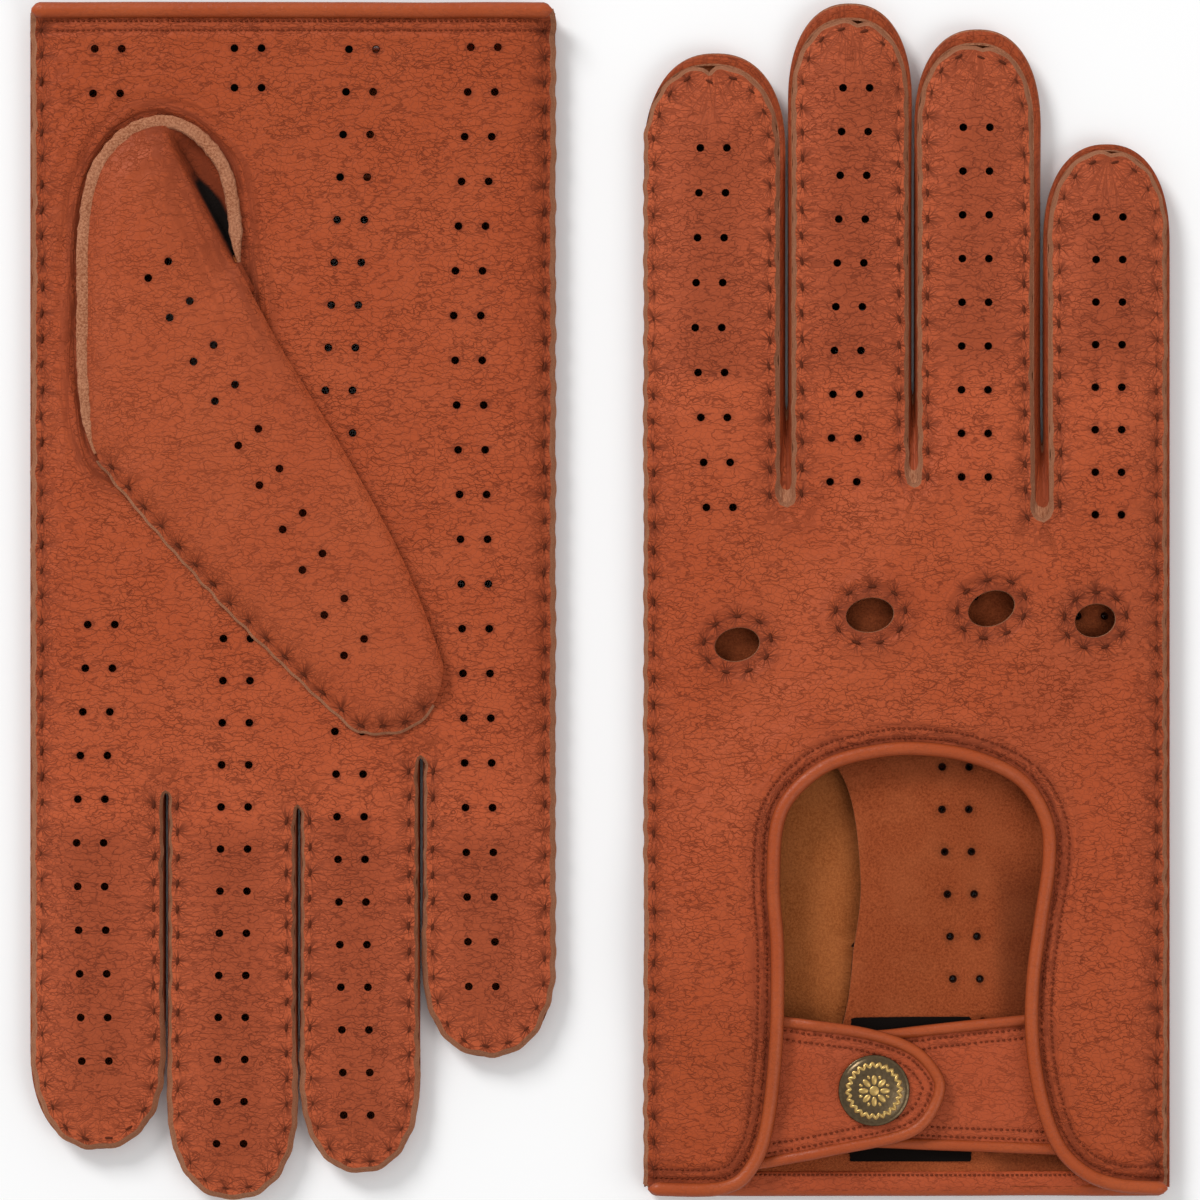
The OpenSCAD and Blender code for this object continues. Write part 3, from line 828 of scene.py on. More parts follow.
class Tree:
    """Short hand for building a shader."""

    def __init__(self, name):
        self.material = bpy.data.materials.new(name)
        self.material.use_nodes = True
        self.nodes = self.material.node_tree.nodes
        self.links = self.material.node_tree.links
        self.shader = self.nodes["Principled BSDF"]

    def put(self, socket, value):
        if isinstance(value, bpy.types.NodeSocket):
            self.links.new(value, socket)
        elif value is not None:
            if socket.type == "RGBA" and len(value) == 3:
                value = (*value, 1)
            socket.default_value = value

    def node(self, kind, inputs=None, **settings):
        node = self.nodes.new(kind)
        for key, value in settings.items():
            setattr(node, key, value)
        for key, value in (inputs or {}).items():
            self.put(node.inputs[key], value)
        return node

    def math(self, operation, a, b=None, c=None):
        node = self.node("ShaderNodeMath", operation=operation)
        for socket, value in zip(node.inputs, (a, b, c)):
            self.put(socket, value)
        return node.outputs[0]

    add = partialmethod(math, "ADD")
    sub = partialmethod(math, "SUBTRACT")
    mul = partialmethod(math, "MULTIPLY")
    div = partialmethod(math, "DIVIDE")
    most = partialmethod(math, "MAXIMUM")
    mad = partialmethod(math, "MULTIPLY_ADD")

    def vector(self, operation, a, b=None):
        node = self.node("ShaderNodeVectorMath", operation=operation)
        self.put(node.inputs[0], a)
        self.put(node.inputs[1], b)
        return node.outputs["Value"] if operation in {"LENGTH", "DOT_PRODUCT"} else node.outputs[0]

    def attribute(self, name):
        return self.node("ShaderNodeAttribute", attribute_name=name).outputs["Vector"]

    def split(self, vector):
        return self.node("ShaderNodeSeparateXYZ", {0: vector}).outputs

    def join(self, x, y, z=0.0):
        return self.node("ShaderNodeCombineXYZ", {0: x, 1: y, 2: z}).outputs[0]

    def noise(self, vector, scale, detail=3.0, rough=0.55):
        return self.node("ShaderNodeTexNoise", {"Vector": vector, "Scale": scale, "Detail": detail,
                                                "Roughness": rough}).outputs["Fac"]

    def cracks(self, vector, scale, wide):
        """1 in the narrow lines between cells, 0 inside them."""
        edge = self.node("ShaderNodeTexVoronoi", {"Vector": vector, "Scale": scale},
                         feature="DISTANCE_TO_EDGE").outputs["Distance"]
        return self.step(edge, wide, 0.0)

    def step(self, value, low, high):
        node = self.node("ShaderNodeMapRange", interpolation_type="SMOOTHSTEP")
        for key, v in (("Value", value), ("From Min", low), ("From Max", high)):
            self.put(node.inputs[key], v)
        return node.outputs["Result"]

    def off_middle(self, value):
        """How far a noise is from its middle value."""
        return self.math("ABSOLUTE", self.sub(value, 0.5))

    def mix(self, share, a, b):
        node = self.node("ShaderNodeMix", data_type="RGBA")
        self.put(node.inputs["Factor"], share)
        self.put(node.inputs["A"], a)
        self.put(node.inputs["B"], b)
        return node.outputs["Result"]

    def bump(self, height, distance):
        node = self.node("ShaderNodeBump", {"Height": height, "Strength": 1.0,
                                            "Distance": distance * MM})
        self.links.new(node.outputs[0], self.shader.inputs["Normal"])

    def finish(self, color, rough, metal=0.0, **more):
        self.put(self.shader.inputs["Base Color"], color)
        self.put(self.shader.inputs["Roughness"], rough)
        self.put(self.shader.inputs["Metallic"], metal)
        for key, value in more.items():
            self.put(self.shader.inputs[key.replace("_", " ")], value)
        return self.material


def srgb(r, g, b):
    """Linear colour from 0-255 sRGB."""
    return tuple((c / 255 / 12.92) if c <= 10 else ((c / 255 + 0.055) / 1.055) ** 2.4 for c in (r, g, b))


def leather(name, base, deep, light, lines=1.0, seams=True, rough=0.46, gloss=0.19):
    """Tanned leather: fine pebbles, soft wavy creases across it, and puckers at the seams.

    Stored on the mesh: rest is the place on the hide, seam is run, distance and shade at a cut
    edge, knot is the place from a hand stitch, fan from a finger tip, and fold from a fold.
    """
    base, deep, light = (srgb(*c) for c in (base, deep, light))
    t = Tree(name)
    place = t.attribute("rest")
    x, y, z = t.split(place)
    flat = t.join(x, y, t.mul(z, 0.35))
    bend = t.node("ShaderNodeTexNoise", {"Vector": flat, "Scale": 0.5, "Detail": 3.0}).outputs["Color"]
    warp = t.vector("MULTIPLY", t.vector("SUBTRACT", bend, (0.5, 0.5, 0.5)), (1.5, 1.5, 0))
    warped = t.vector("ADD", flat, warp)
    net = t.cracks(t.vector("MULTIPLY", warped, (0.75, 1.15, 1)), 0.95, 0.068)
    pebble = t.node("ShaderNodeTexVoronoi", {"Vector": warped, "Scale": 1.9}).outputs["Distance"]
    wx, wy, _ = t.split(warped)
    cross = t.noise(t.join(t.mul(wx, 0.24), t.mul(wy, 0.66), z), 1.0, 2.0, 0.5)
    cross = t.step(t.off_middle(cross), 0.033, 0.0)
    sparse = t.step(t.noise(flat, 0.12, 2.0), 0.30, 0.72)
    grain = t.noise(flat, 2.4, 3.0, 0.6)
    swell = t.noise(warped, 0.62, 2.0, 0.45)
    mottle = t.noise(t.vector("ADD", flat, (5, 50, 0)), 0.06, 2.0)
    creases = t.most(t.mul(net, t.mad(sparse, 0.45, 0.36)),
                     t.mul(cross, t.mad(sparse, 0.25, 0.85)))
    creases = t.mul(creases, lines)
    if seams:
        run, d, painted_shade = t.split(t.attribute("seam"))
        wave_x, wave_y, _ = t.split(warp)
        across = t.noise(t.join(t.add(run, wave_x), t.mul(d, 0.13), z), 0.85, 2.0, 0.5)
        pleat = t.step(t.off_middle(across), 0.050, 0.0)
        pleat = t.mul(pleat, t.mul(t.step(d, 0.8, 1.8), t.step(d, 8.5, 2.5)))
        a, b, odd = t.split(t.attribute("knot"))
        a = t.mad(wave_x, 0.30, a)
        b = t.mad(wave_y, 0.30, b)
        r = t.vector("LENGTH", t.join(a, b))
        safe = t.add(r, 0.01)
        circle = t.join(t.div(a, safe), t.div(b, safe), odd)
        spoke = t.off_middle(t.noise(circle, 2.6, 1.0, 0.5))
        star = t.step(t.mul(spoke, t.add(r, 0.35)), 0.15, 0.0)
        star = t.mul(star, t.step(r, 4.0, 0.6))
        star = t.most(star, t.mul(t.step(r, 0.60, 0.15), 0.8))
        fa, fb, finger = t.split(t.attribute("fan"))
        fr = t.vector("LENGTH", t.join(fa, fb))
        fsafe = t.add(fr, 0.01)
        around = t.join(t.div(fa, fsafe), t.div(fb, fsafe), t.mad(fr, 0.012, finger))
        rays = t.off_middle(t.noise(around, 6.5, 1.0, 0.5))
        rays = t.step(t.mul(rays, t.add(fr, 1.0)), 0.55, 0.0)
        rays = t.mul(rays, t.step(fr, 19.0, 6.0))
        fs, fd, much = t.split(t.attribute("fold"))
        beside = t.noise(t.join(t.mul(fs, 0.09), t.add(fd, t.mul(wave_y, 0.5)), z), 0.62, 2.0, 0.5)
        beside = t.step(t.off_middle(beside), 0.10, 0.0)
        beside = t.mul(beside, t.mul(t.step(fd, 9.0, 1.5), much))
        dent = t.most(t.mul(pleat, 0.72), star)
        dent = t.most(dent, t.most(t.mul(rays, 0.8), t.mul(beside, 0.9)))
        creases = t.most(creases, dent)
        # Painted shade: the mesh's stored shade, and a band beside the fold lines at the thumb hole, the
        # opening and the knuckle holes.
        shade = t.add(painted_shade, t.mul(t.mul(t.step(fd, 5.0, 0.3), much), 0.35))
    else:
        # Painted shade stored on the mesh: the low sides of the piping, the sewn rows of strap and tab.
        shade = t.split(t.attribute("seam"))[2]
    color = t.mix(t.mul(t.step(mottle, 0.35, 0.65), 0.6), base, light)
    if seams:
        color = t.mix(t.mul(t.step(y, 125, 190), 0.60), color, srgb(200, 96, 57))
        color = t.mix(t.mul(t.step(y, 80, 10), 0.50), color, srgb(164, 70, 30))
    color = t.mix(t.mul(t.sub(1.0, grain), 0.16), color, deep)
    # Creases, pleats and stitch stars are darker: partly the grain's own colour, partly painted shade in
    # the creases, as well as the bump.
    color = t.mix(t.mul(creases, 0.62), color, deep)
    # Painted shade, going near black where it is deepest: the painted shadow in the thumb's crevice.
    color = t.mix(shade, color, deep)
    color = t.mix(t.step(shade, 0.40, 0.95), color, srgb(14, 6, 3))
    if seams:
        # Painted shade in the needle holes and the puckers round each hand stitch.
        color = t.mix(t.mul(star, 0.35), color, srgb(52, 16, 6))
    height = t.mad(swell, 0.45, t.mul(grain, 0.14))
    height = t.sub(height, t.mul(pebble, 0.16))
    height = t.sub(height, t.mul(creases, 0.40))
    t.bump(height, 0.20)
    hidden = t.most(t.mul(creases, 0.7), t.mul(shade, 1.4))
    worn = t.mad(grain, 0.14, rough)
    return t.finish(color, t.mad(t.step(hidden, 0.0, 1.0), 0.38, worn), Specular_IOR_Level=gloss)


def fibre(name, base, deep, light, sheen=0.2):
    """Suede and cut leather."""
    base, deep, light = (srgb(*c) for c in (base, deep, light))
    t = Tree(name)
    place = t.attribute("rest")
    nap = t.noise(place, 2.2, 5.0, 0.8)
    brushed = t.noise(place, 0.12, 2.0)
    color = t.mix(t.step(nap, 0.34, 0.66), deep, base)
    color = t.mix(t.mul(t.step(brushed, 0.35, 0.75), 0.25), color, light)
    # Painted shade from the seam attribute: on the inner suede, at the punched holes and in the thumb's
    # hollow.
    color = t.mix(t.split(t.attribute("seam"))[2], color, srgb(58, 24, 10))
    t.bump(nap, 0.35)
    return t.finish(color, 0.95, Specular_IOR_Level=0.1, Sheen_Weight=sheen, Sheen_Tint=(*light, 1))


def twisted(name, base, deep):
    """Thread."""
    base, deep = srgb(*base), srgb(*deep)
    t = Tree(name)
    place = t.attribute("rest")
    ply = t.noise(place, 4.0, 2.0)
    t.bump(ply, 0.1)
    return t.finish(t.mix(ply, deep, base), 0.85, Specular_IOR_Level=0.15)


def metal(name, base, deep, rough):
    """Metal with a cloudy patina."""
    base, deep = srgb(*base), srgb(*deep)
    t = Tree(name)
    place = t.attribute("rest")
    patina = t.noise(place, 1.2, 4.0, 0.6)
    t.bump(patina, 0.05)
    return t.finish(t.mix(patina, base, deep), t.mad(patina, 0.2, rough), 1.0)


def woven(name, base, deep):
    """Ribbed ribbon."""
    base, deep = srgb(*base), srgb(*deep)
    t = Tree(name)
    x, y, z = t.split(t.attribute("rest"))
    rib = t.noise(t.join(t.mul(x, 2.0), y, z), 2.0, 2.0)
    t.bump(rib, 0.12)
    return t.finish(t.mix(t.mad(rib, 0.5, 0.5), deep, base), 0.95, Specular_IOR_Level=0.04)


# Colours are sRGB: base, deep, light
M["leather"] = leather("tan_leather", (175, 77, 38), (80, 26, 9), (181, 84, 45))
M["thumb"] = leather("thumb_leather", (174, 78, 40), (96, 35, 13), (179, 84, 45), lines=0.9)
M["piping"] = leather("piping_leather", (168, 73, 30), (74, 26, 8), (176, 82, 38),
                      lines=0.25, seams=False, rough=0.32, gloss=0.26)
M["strap"] = leather("strap_leather", (174, 76, 39), (88, 30, 10), (180, 82, 45), lines=0.7, seams=False)
M["suede"] = fibre("suede", (176, 88, 48), (132, 58, 28), (186, 102, 60))
M["ochre"] = fibre("ochre_suede", (188, 108, 56), (148, 78, 36), (198, 120, 68))
M["raw"] = fibre("raw_edge", (202, 138, 103), (138, 77, 49), (212, 152, 119), 0.1)
M["thread"] = twisted("thread", (112, 50, 26), (58, 22, 10))
M["sewing"] = twisted("sewing_thread", (132, 58, 30), (96, 38, 18))
# The walls of the punched holes are painted near-black: painted shade inside the holes.
M["punched"] = fibre("punched_edge", (60, 24, 12), (30, 12, 6), (70, 30, 16), 0.0)
M["bronze"] = metal("antique_bronze", (132, 112, 84), (60, 48, 36), 0.22)
M["brass"] = metal("brass", (226, 194, 124), (168, 128, 66), 0.30)
M["label"] = woven("label_cloth", (22, 17, 15), (10, 8, 7))


# ---------------------------------------------------------------- other pieces
def tube(path, wide, high, sides):
    """A bead along a path of u, v, w points: half width, half height in mm."""
    n = left_normals(path[:, :2])
    size = np.ones(len(path))
    size[[0, -1]], size[[1, -2]] = 0.25, 0.8
    turn = np.linspace(0, TURN, sides, endpoint=False)
    verts = np.zeros((len(path), sides, 3))
    for j, a in enumerate(turn):
        verts[:, j, :2] = path[:, :2] + n * (wide * math.cos(a) * size)[:, None]
        verts[:, j, 2] = path[:, 2] + high * math.sin(a) * size
    return verts.reshape(-1, 3), grid_faces(len(path), sides, True)


def flanks(verts, sides):
    """Shade for the low sides of a bead made by tube()."""
    lift = np.abs(np.sin(np.linspace(0, TURN, sides, endpoint=False)))
    return np.tile(0.62 * (1 - lift) ** 1.6, len(verts) // sides)


def finish_piece(glove, name, verts, faces, material, body, nodes=(), shade=None):
    """Faces the mesh outward, places it and hands it to attach()."""
    placed = glove.place(verts)
    a, b, c = (placed[faces[:, j]] - placed.mean(0) for j in range(3))
    if np.einsum("ij,ij->i", a, np.cross(b, c)).sum() < 0:
        faces = faces[:, ::-1]
    seam = np.zeros((len(verts), 3))
    seam[:, 1] = 30
    if shade is not None:
        seam[:, 2] = shade
    obj = add_mesh(f"{glove.name}_{name}", placed, [(faces, 0, None)], [material],
                   points={"rest": verts, "seam": seam})
    attach(glove, obj, body)
    if nodes:
        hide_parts(*(f"{glove.name}_{n}" for n in nodes))


def finger_sides(glove, k):
    """The leather between palm and back round finger k, and the gussets at its foot."""
    upper, lower = ("front", "back") if glove.palm_up else ("back", "front")
    up = -1.0 if glove.palm_up else 1.0
    mid_v = glove.tip[k] - TIP_L
    rails = []
    for side in (lower, upper):
        path = finger_run(glove, side, k)
        top = np.nonzero(path[:, 1] > mid_v)[0]
        parts = (path[:top[0] + 1], path[top[0]:top[-1] + 1], path[top[-1]:])
        rails.append(np.concatenate([along(p, np.linspace(0, 1, len(p)), np.linspace(0, 1, n))
                                     for p, n in zip(parts, (150, 60, 150))]))
    low, high = rails
    outward = -left_normals(high[:, :2])
    at_seam, at_slot = FLARE[glove.name]
    reach = 0.9 * (at_slot + (at_seam - at_slot) * smooth(high[:, 2], 2.6, 1.2))
    a = np.column_stack([low[:, :2], MID_W - up * (low[:, 2] - 0.9)])
    b = np.column_stack([high[:, :2] + outward * reach[:, None], MID_W + up * (high[:, 2] - 1.05)])
    span = np.linalg.norm(b[:, :2] - a[:, :2], axis=1)
    levels = (0, 0.12, 0.32, 0.52, 0.70, 0.86, 1.0)
    columns = []
    for t in levels:
        p = a * (1 - t) + b * t
        p[:, :2] += outward * (0.12 * math.sin(math.pi * t))
        p[:, 2] += up * math.sin(math.pi * t) * 0.16 * np.minimum(span, 4)
        columns.append(p)
    verts = np.stack(columns, 1).reshape(-1, 3)
    rows, cols = len(a), len(levels)
    faces = grid_faces(rows, cols)
    placed = glove.place(verts)
    n, _ = vertex_normals(placed, faces)
    if np.sum(n.reshape(rows, cols, 3)[:, cols // 2, :2] * (outward * glove.flip[:2])) < 0:
        faces = faces[:, ::-1]
    n, _ = vertex_normals(placed, faces)
    run = np.repeat(arc(a[:, :2]), cols)
    rest = np.stack([run, np.tile(np.array(levels) * 5, rows), np.full(rows * cols, 7.0 + k)], 1)
    # Its third value, 0.1, is a slight painted shade over the whole strip.
    seam = np.stack([run, np.full(rows * cols, 3.0), np.full(rows * cols, 0.1)], 1)
    fan = np.tile(NO_FAN, (len(placed), 1))
    mid_face = verts[faces].mean(1)
    beyond = mid_face[:, 1] > glove.root[k]
    finger = FINGERS[k]
    word = "fourchettes" if k in (1, 2) else "fourchette"
    for body, mask in ((finger, beyond), ("hand", ~beyond)):
        if not mask.any():
            continue
        level = np.tile(np.arange(cols - 1), rows - 1)
        edge_strip = mask & ((level == 0) | (level == cols - 2))
        mask = mask & ~edge_strip
        corners = 4 * (mask.sum() + edge_strip.sum())
        obj = add_mesh(f"{glove.name}_{finger}_{'sides' if body != 'hand' else 'gusset'}", placed,
                       [(faces[mask], 0, n[faces[mask]]), (faces[edge_strip], 1, n[faces[edge_strip]])],
                       [M["leather"], M["raw"]], {"rest": rest, "seam": seam, "fan": fan},
                       {"knot": np.full((corners, 3), NO_KNOT)})
        attach(glove, obj, body)
        if body != "hand":
            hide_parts(f"{glove.name}_{finger}_{word}")
        else:
            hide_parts(f"{glove.name}_finger_gussets")


def in_bowl(points):
    """Within the hole for the thumb, on the cuff's side of its base line."""
    line = unit(BASE_B - BASE_A)
    side = (points - BASE_A) @ np.array([-line[1], line[0]])
    return inside(points, HOLE_LINE[:-1]) & (side < 1.5)


def thumb(glove):
    """The thumb with its ball: one pouch folded over the palm.

    Its edge has three kinds, and d0, d1 and d2 are the distances from them:
    the sewn seam (0), the fold (1) and the side sewn to the thumb hole (2).
    """
    seen = glove.palm_up
    step = 0.85 if seen else 1.3
    join = np.argmin(np.linalg.norm(HOLE_LINE - BASE_A, axis=1))
    hole_side = HOLE_LINE[join:]
    top_at = np.argmax(THUMB_EDGE @ np.array([0.86, 0.5]))
    rows = []
    for part, kind in ((THUMB_EDGE[:top_at + 1], 0), (THUMB_EDGE[top_at:], 1), (hole_side[::-1], 2)):
        fine = resample(part, 0.4)
        rows.append(np.column_stack([fine, np.full(len(fine), kind)]))
    fence = np.concatenate(rows)[::-1]
    run = arc(fence[:, :2])
    inward = left_normals(fence[:, :2])
    seam_part = fence[:, 2] == 0
    if seen:
        sway = 0.12 * wave(run, 9, 2.4, 5) + 0.1 * np.cos(TURN * run / PITCH)
        fence[:, :2] += inward * (sway * seam_part)[:, None]
    ring = resample(fence[:, :2], step * 0.85)
    ring = ring[np.linalg.norm(ring - np.roll(ring, 1, 0), axis=1) > 0.15]
    marks = []
    at = run[seam_part]
    line = fence[:, :2] + inward * STITCH_IN
    for s in np.arange(at[0] + 2.5, at[-1] - 2.0, PITCH):
        p, q = along(line, run, s), along(line, run, s + 0.6)
        marks.append((*p, math.atan2(*(q - p)[::-1])))
    holes = np.zeros((0, 2))
    loops = [ring]
    if seen:
        gap = np.array((4.0, -3.3)) / 2
        mids = resample([(26.1, 53.7), (39, 77.5), (52.5, 103), (65.1, 128.9)], 1.0)
        mids = mids[np.linspace(0, len(mids) - 1, 10).round().astype(int)]
        holes = np.concatenate([mids - gap, mids + gap])
        loops += hole_loops(holes)
    near_edge = edge_samples(loops)
    grid = hex_grid(int(90 / step), int(140 / (step * HEX)), step, 5, 15)
    grid = grid[inside(grid, ring)]
    grid = grid[near_edge(grid)[1] > step * 0.5]
    if len(holes):
        near_hole = Nearest(holes)
        grid = grid[near_hole(grid)[1] > HOLE_R + 0.3]

    def keep(mid):
        good = inside(mid, ring)
        if len(holes):
            good &= near_hole(mid)[1] > HOLE_R * 0.93
        return good

    uv, tri, mid = triangulate(loops, [], grid, keep)
    u, v = uv[:, 0], uv[:, 1]
    rise = np.full(len(uv), 9.0)
    d_all = np.full(len(uv), 99.0)
    run_at = np.zeros(len(uv))
    distance = []
    for kind, (edge, scale, power) in enumerate(((0.75, 3.0, 1.2), (1.3, 2.2, 1.0), (0.15, 5.0, 1.2))):
        mine = fence[:, 2] == kind
        look = Nearest(fence[mine, :2])
        who, d = look(uv)
        distance.append(d)
        if kind == 1:
            ball = np.clip(d / 2.6, 0, 1)
            h = 1.75 + 1.75 * np.sqrt(1 - (1 - ball) ** 2)
        else:
            h = edge + (3.5 - edge) * (1 - np.exp(-(d / scale) ** power))
        rise = np.minimum(rise, h)
        closer = d < d_all
        run_at[closer] = run[mine][who[closer]]
        d_all = np.minimum(d_all, d)
    d0, d1, d2 = distance
    far = smooth(d_all, 0.8, 6)
    h = rise + far * (0.20 * wave(u, v, 13, 21) + 0.10 * wave(u, v, 6, 22))
    crest, crest_end = np.array((27.2, 24.6)), BASE_B + np.array((0.5, 1.0))
    dip = unit(crest_end - crest)
    beside_fold = (uv - crest) @ np.array([dip[1], -dip[0]])
    reach = (uv - crest) @ dip / np.linalg.norm(crest_end - crest)
    tuck = smooth(beside_fold, -0.6, 0.8) * smooth(reach, -0.05, 0.22)
    tuck = np.where(in_bowl(uv) & seen, tuck, 0)
    h = h * (1 - tuck) + (-2.3 + 1.9 * np.exp(-d2 / 0.9)) * tuck
    # Painted shadow in the crevice beside the fold, near black in its slit.
    slit = 2.3 * smooth(reach, 0.30, 0.62)
    crevice_shadow = tuck * (0.34 + 0.66 * smooth(beside_fold, slit + 1.2, slit - 0.4) * smooth(reach, 0.28, 0.5))
    if not seen:
        h = np.minimum(h, CREST - glove.sag(u, v))
    else:
        h -= 0.30 * bell(d0, STITCH_IN, 0.5)
        near_mark = Nearest(np.array([m[:2] for m in marks]))
        _, dm = near_mark(uv)
        h -= 0.22 * bell(dm, 0, 1.1)
        h += 0.15 * smooth(d0, 1, 2) * np.exp(-d0 / 4) * wave(run_at, d0 * 0.2, 2.0, 3)
        roll = np.cos(TURN * (d2 / 3.6 + 0.5 * wave(u, v, 12, 8)))
        h += 0.20 * np.exp(-d2 / 9) * roll * smooth(d2, 0.5, 2)
    in_hole = inside(uv, HOLE_LINE[:-1]) | (Nearest(HOLE_LINE)(uv)[1] < 1.3)
    under = np.where(in_hole, -h + 0.95, -0.30 - 0.35 * np.exp(-d_all / 1.2))
    under = np.minimum(under, np.where(tuck > 0.1, 2.4, 0.4))
    if not seen:
        under = np.where(in_hole, np.maximum(under, -0.75), under)
    top = np.stack([u, v, -h], 1)
    below = np.stack([u, v, np.maximum(under, -h + 0.35)], 1)
    ra, rb, _, push = rim_of(uv, tri)
    flare = np.where((d0 < 0.3) & (d0 <= d1) & (d0 < d2), 0.55, 0.0)
    flare = np.where((d1 < 0.3) & (d1 < d0), -0.6, flare)
    below[:, :2] += push * (flare * (d_all < 0.3))[:, None]
    near_b = (d1 < 0.3) & (v < 58)
    if seen:
        below[:, :2] += near_b[:, None] * push * 1.5
    else:
        lap = (((d2 < 0.3) & (d2 < d0)) | near_b)[:, None] * push * 1.5
        top[:, :2] += lap
        below[:, :2] += lap
    n = len(uv)
    verts = glove.place(np.concatenate([top, below]))
    face = tri[:, ::-1]
    back = tri + n
    top_n, _ = vertex_normals(verts, face)
    back_n, _ = vertex_normals(verts, back)
    wall = np.stack([ra, rb, rb + n, ra + n], 1)
    wall_n, _ = vertex_normals(verts, wall)
    fold = d1[ra] < np.minimum(d0[ra], d2[ra])
    suede_face = inside(mid, HOLE_LINE[:-1]) | (Nearest(HOLE_LINE)(mid)[1] < 2.2)
    grain = np.concatenate([uv, (h + 90)[:, None]], 1)
    grain = np.concatenate([grain, grain + [0, 0, 9]])
    # Painted shade, kept in the seam attribute: on the thumb seen on top, darker along the stitch groove,
    # in the crevice and beside the welt; on the thumb under the back-up glove, the painted shadow of the
    # palm's edge on the inner suede and a darker left side; round the punched holes on both.
    if seen:
        painted_shade = 0.25 * bell(d0, STITCH_IN, 0.45) + crevice_shadow
        painted_shade += 0.30 * np.exp(-d2 / 1.6) * smooth(d2, -0.1, 0.3) * (tuck < 0.1)
    else:
        to_palm = Nearest(HOLE_LINE[HOLE_LINE[:, 0] > 30])(uv)[1]
        painted_shade = 0.55 * np.exp(-to_palm / 1.5) + 0.5 * smooth(u, 17, 12.5)
    if len(holes):
        painted_shade = painted_shade + 0.35 * bell(near_hole(uv)[1], HOLE_R, 0.35)
    seam = np.tile(np.stack([run_at, np.minimum(d0, d2 + 1.0), painted_shade], 1), (2, 1))
    if seen:
        knot = knots(uv, face, mid, near_mark, marks)
    else:
        knot = np.full((len(face), 3, 3), NO_KNOT)
    blank = np.full((3 * len(back) + 4 * len(wall), 3), NO_KNOT)
    fold_line = np.stack([run_at + 700, np.abs(beside_fold) * 0.5 + 1.0, 0.8 * smooth(v, 90, 50) * seen], 1)
    fold_line = np.tile(fold_line, (2, 1))
    fan = np.tile(NO_FAN, (2 * n, 1))
    obj = add_mesh(f"{glove.name}_thumb_leather", verts, [
        (face, 0, top_n[face]),
        (back[suede_face], 1, back_n[back[suede_face]]),
        (back[~suede_face], 0, back_n[back[~suede_face]]),
        (wall[~fold], 2, wall_n[wall[~fold]]),
        (wall[fold], 0, wall_n[wall[fold]]),
    ], [M["thumb"], M["ochre"], M["raw"]],
        points={"rest": grain, "seam": seam, "fold": fold_line, "fan": fan},
        corners={"knot": np.concatenate([knot.reshape(-1, 3), blank])})
    attach(glove, obj, "thumb")
    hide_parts(f"{glove.name}_thumb", f"{glove.name}_thumb_base")
    if seen:
        look = Nearest(uv)
        spots, _ = look(np.array([m[:2] for m in marks]))
        thread(glove, f"{glove.name}_thumb_stitches",
               [(m[0], m[1], -(h[s] + 0.04), m[2], 0.95, -1) for m, s in zip(marks, spots)], "thumb")


def thumb_welt(glove):
    """Flat strip of cut leather sewn between the palm and the ball of the thumb."""
    join = np.argmin(np.linalg.norm(HOLE_LINE - BASE_A, axis=1))
    line = resample(np.concatenate([HOLE_LINE[join + 2:-1], HOLE_LINE[:5 if glove.palm_up else 2]]), 0.5)
    n = left_normals(line)
    probe = line[len(line) // 2] + n[len(line) // 2]
    if inside(probe[None], HOLE_LINE[:-1])[0]:
        n = -n
    run = np.linspace(0, 1, len(line))
    size = smooth(run, 0, 0.10) * smooth(run, 1.01, 0.93)
    profile = ((-1.35, 0.9), (-1.25, -0.30), (-0.8, -0.52), (0.1, -0.58),
               (1.0, -0.46), (1.4, -0.2), (1.45, 0.5))
    if not glove.palm_up:
        profile = tuple((max(off, -0.15), min(w, 0.3)) for off, w in profile)
    ragged = 1 + 0.10 * wave(run * 150, 3, 1.7, 4) + 0.05 * wave(run * 150, 8, 0.8, 4)
    verts = np.stack([np.column_stack([line + n * (off * ragged * (0.25 + 0.75 * size))[:, None],
                                       w + 0.08 * wave(run * 150, off * 3, 2.5, 4) + 0.25 * (1 - size)])
                      for off, w in profile], 1).reshape(-1, 3)
    faces = grid_faces(len(line), len(profile))
    a, b, c = (verts[faces[:, k]] for k in range(3))
    if np.cross(b - a, c - a)[:, 2].sum() > 0:
        faces = faces[:, ::-1]
    placed = glove.place(verts)
    obj = add_mesh(f"{glove.name}_thumb_welt_strip", placed, [(faces, 0, None)], [M["raw"]],
                   points={"rest": verts})
    attach(glove, obj, "hand")
    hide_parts(f"{glove.name}_thumb_welt")


def cuff(glove):
    """Rolled binding at the palm's cuff."""
    count = int(glove.width / 0.8)
    u = np.linspace(0.5, glove.width - 0.5, count)
    w = 0.80 if glove.palm_up else 1.30
    path = np.stack([u, 1.65 + 0.08 * wave(u, 3, 14, 2), w + 0.06 * wave(u, 9, 9, 3)], 1)
    verts, faces = tube(path, 1.62, 1.3, 16)
    finish_piece(glove, "cuff_roll", verts, faces, M["piping"], "hand",
                 ["cuff_binding"], flanks(verts, 16))


def opening(glove):
    """Piping round the opening of the back."""
    line = OPENING_LINE
    w = MID_W + (CREST + 0.05 if not glove.palm_up else CREST - 1.05)
    path = np.column_stack([line, np.full(len(line), w) + (0.1 * wave(line[:, 0], line[:, 1], 9, 2))])
    keep = (line[:, 0] > 0.6) & (line[:, 0] < glove.width - 0.6)
    path = path[keep]
    path[:, 1] = np.maximum(path[:, 1], 1.4)
    verts, faces = tube(path, 1.4, 1.0 if glove.palm_up else 1.25, 14)
    finish_piece(glove, "opening_roll", verts, faces, M["piping"], "hand",
                 ["opening_piping"], flanks(verts, 14))


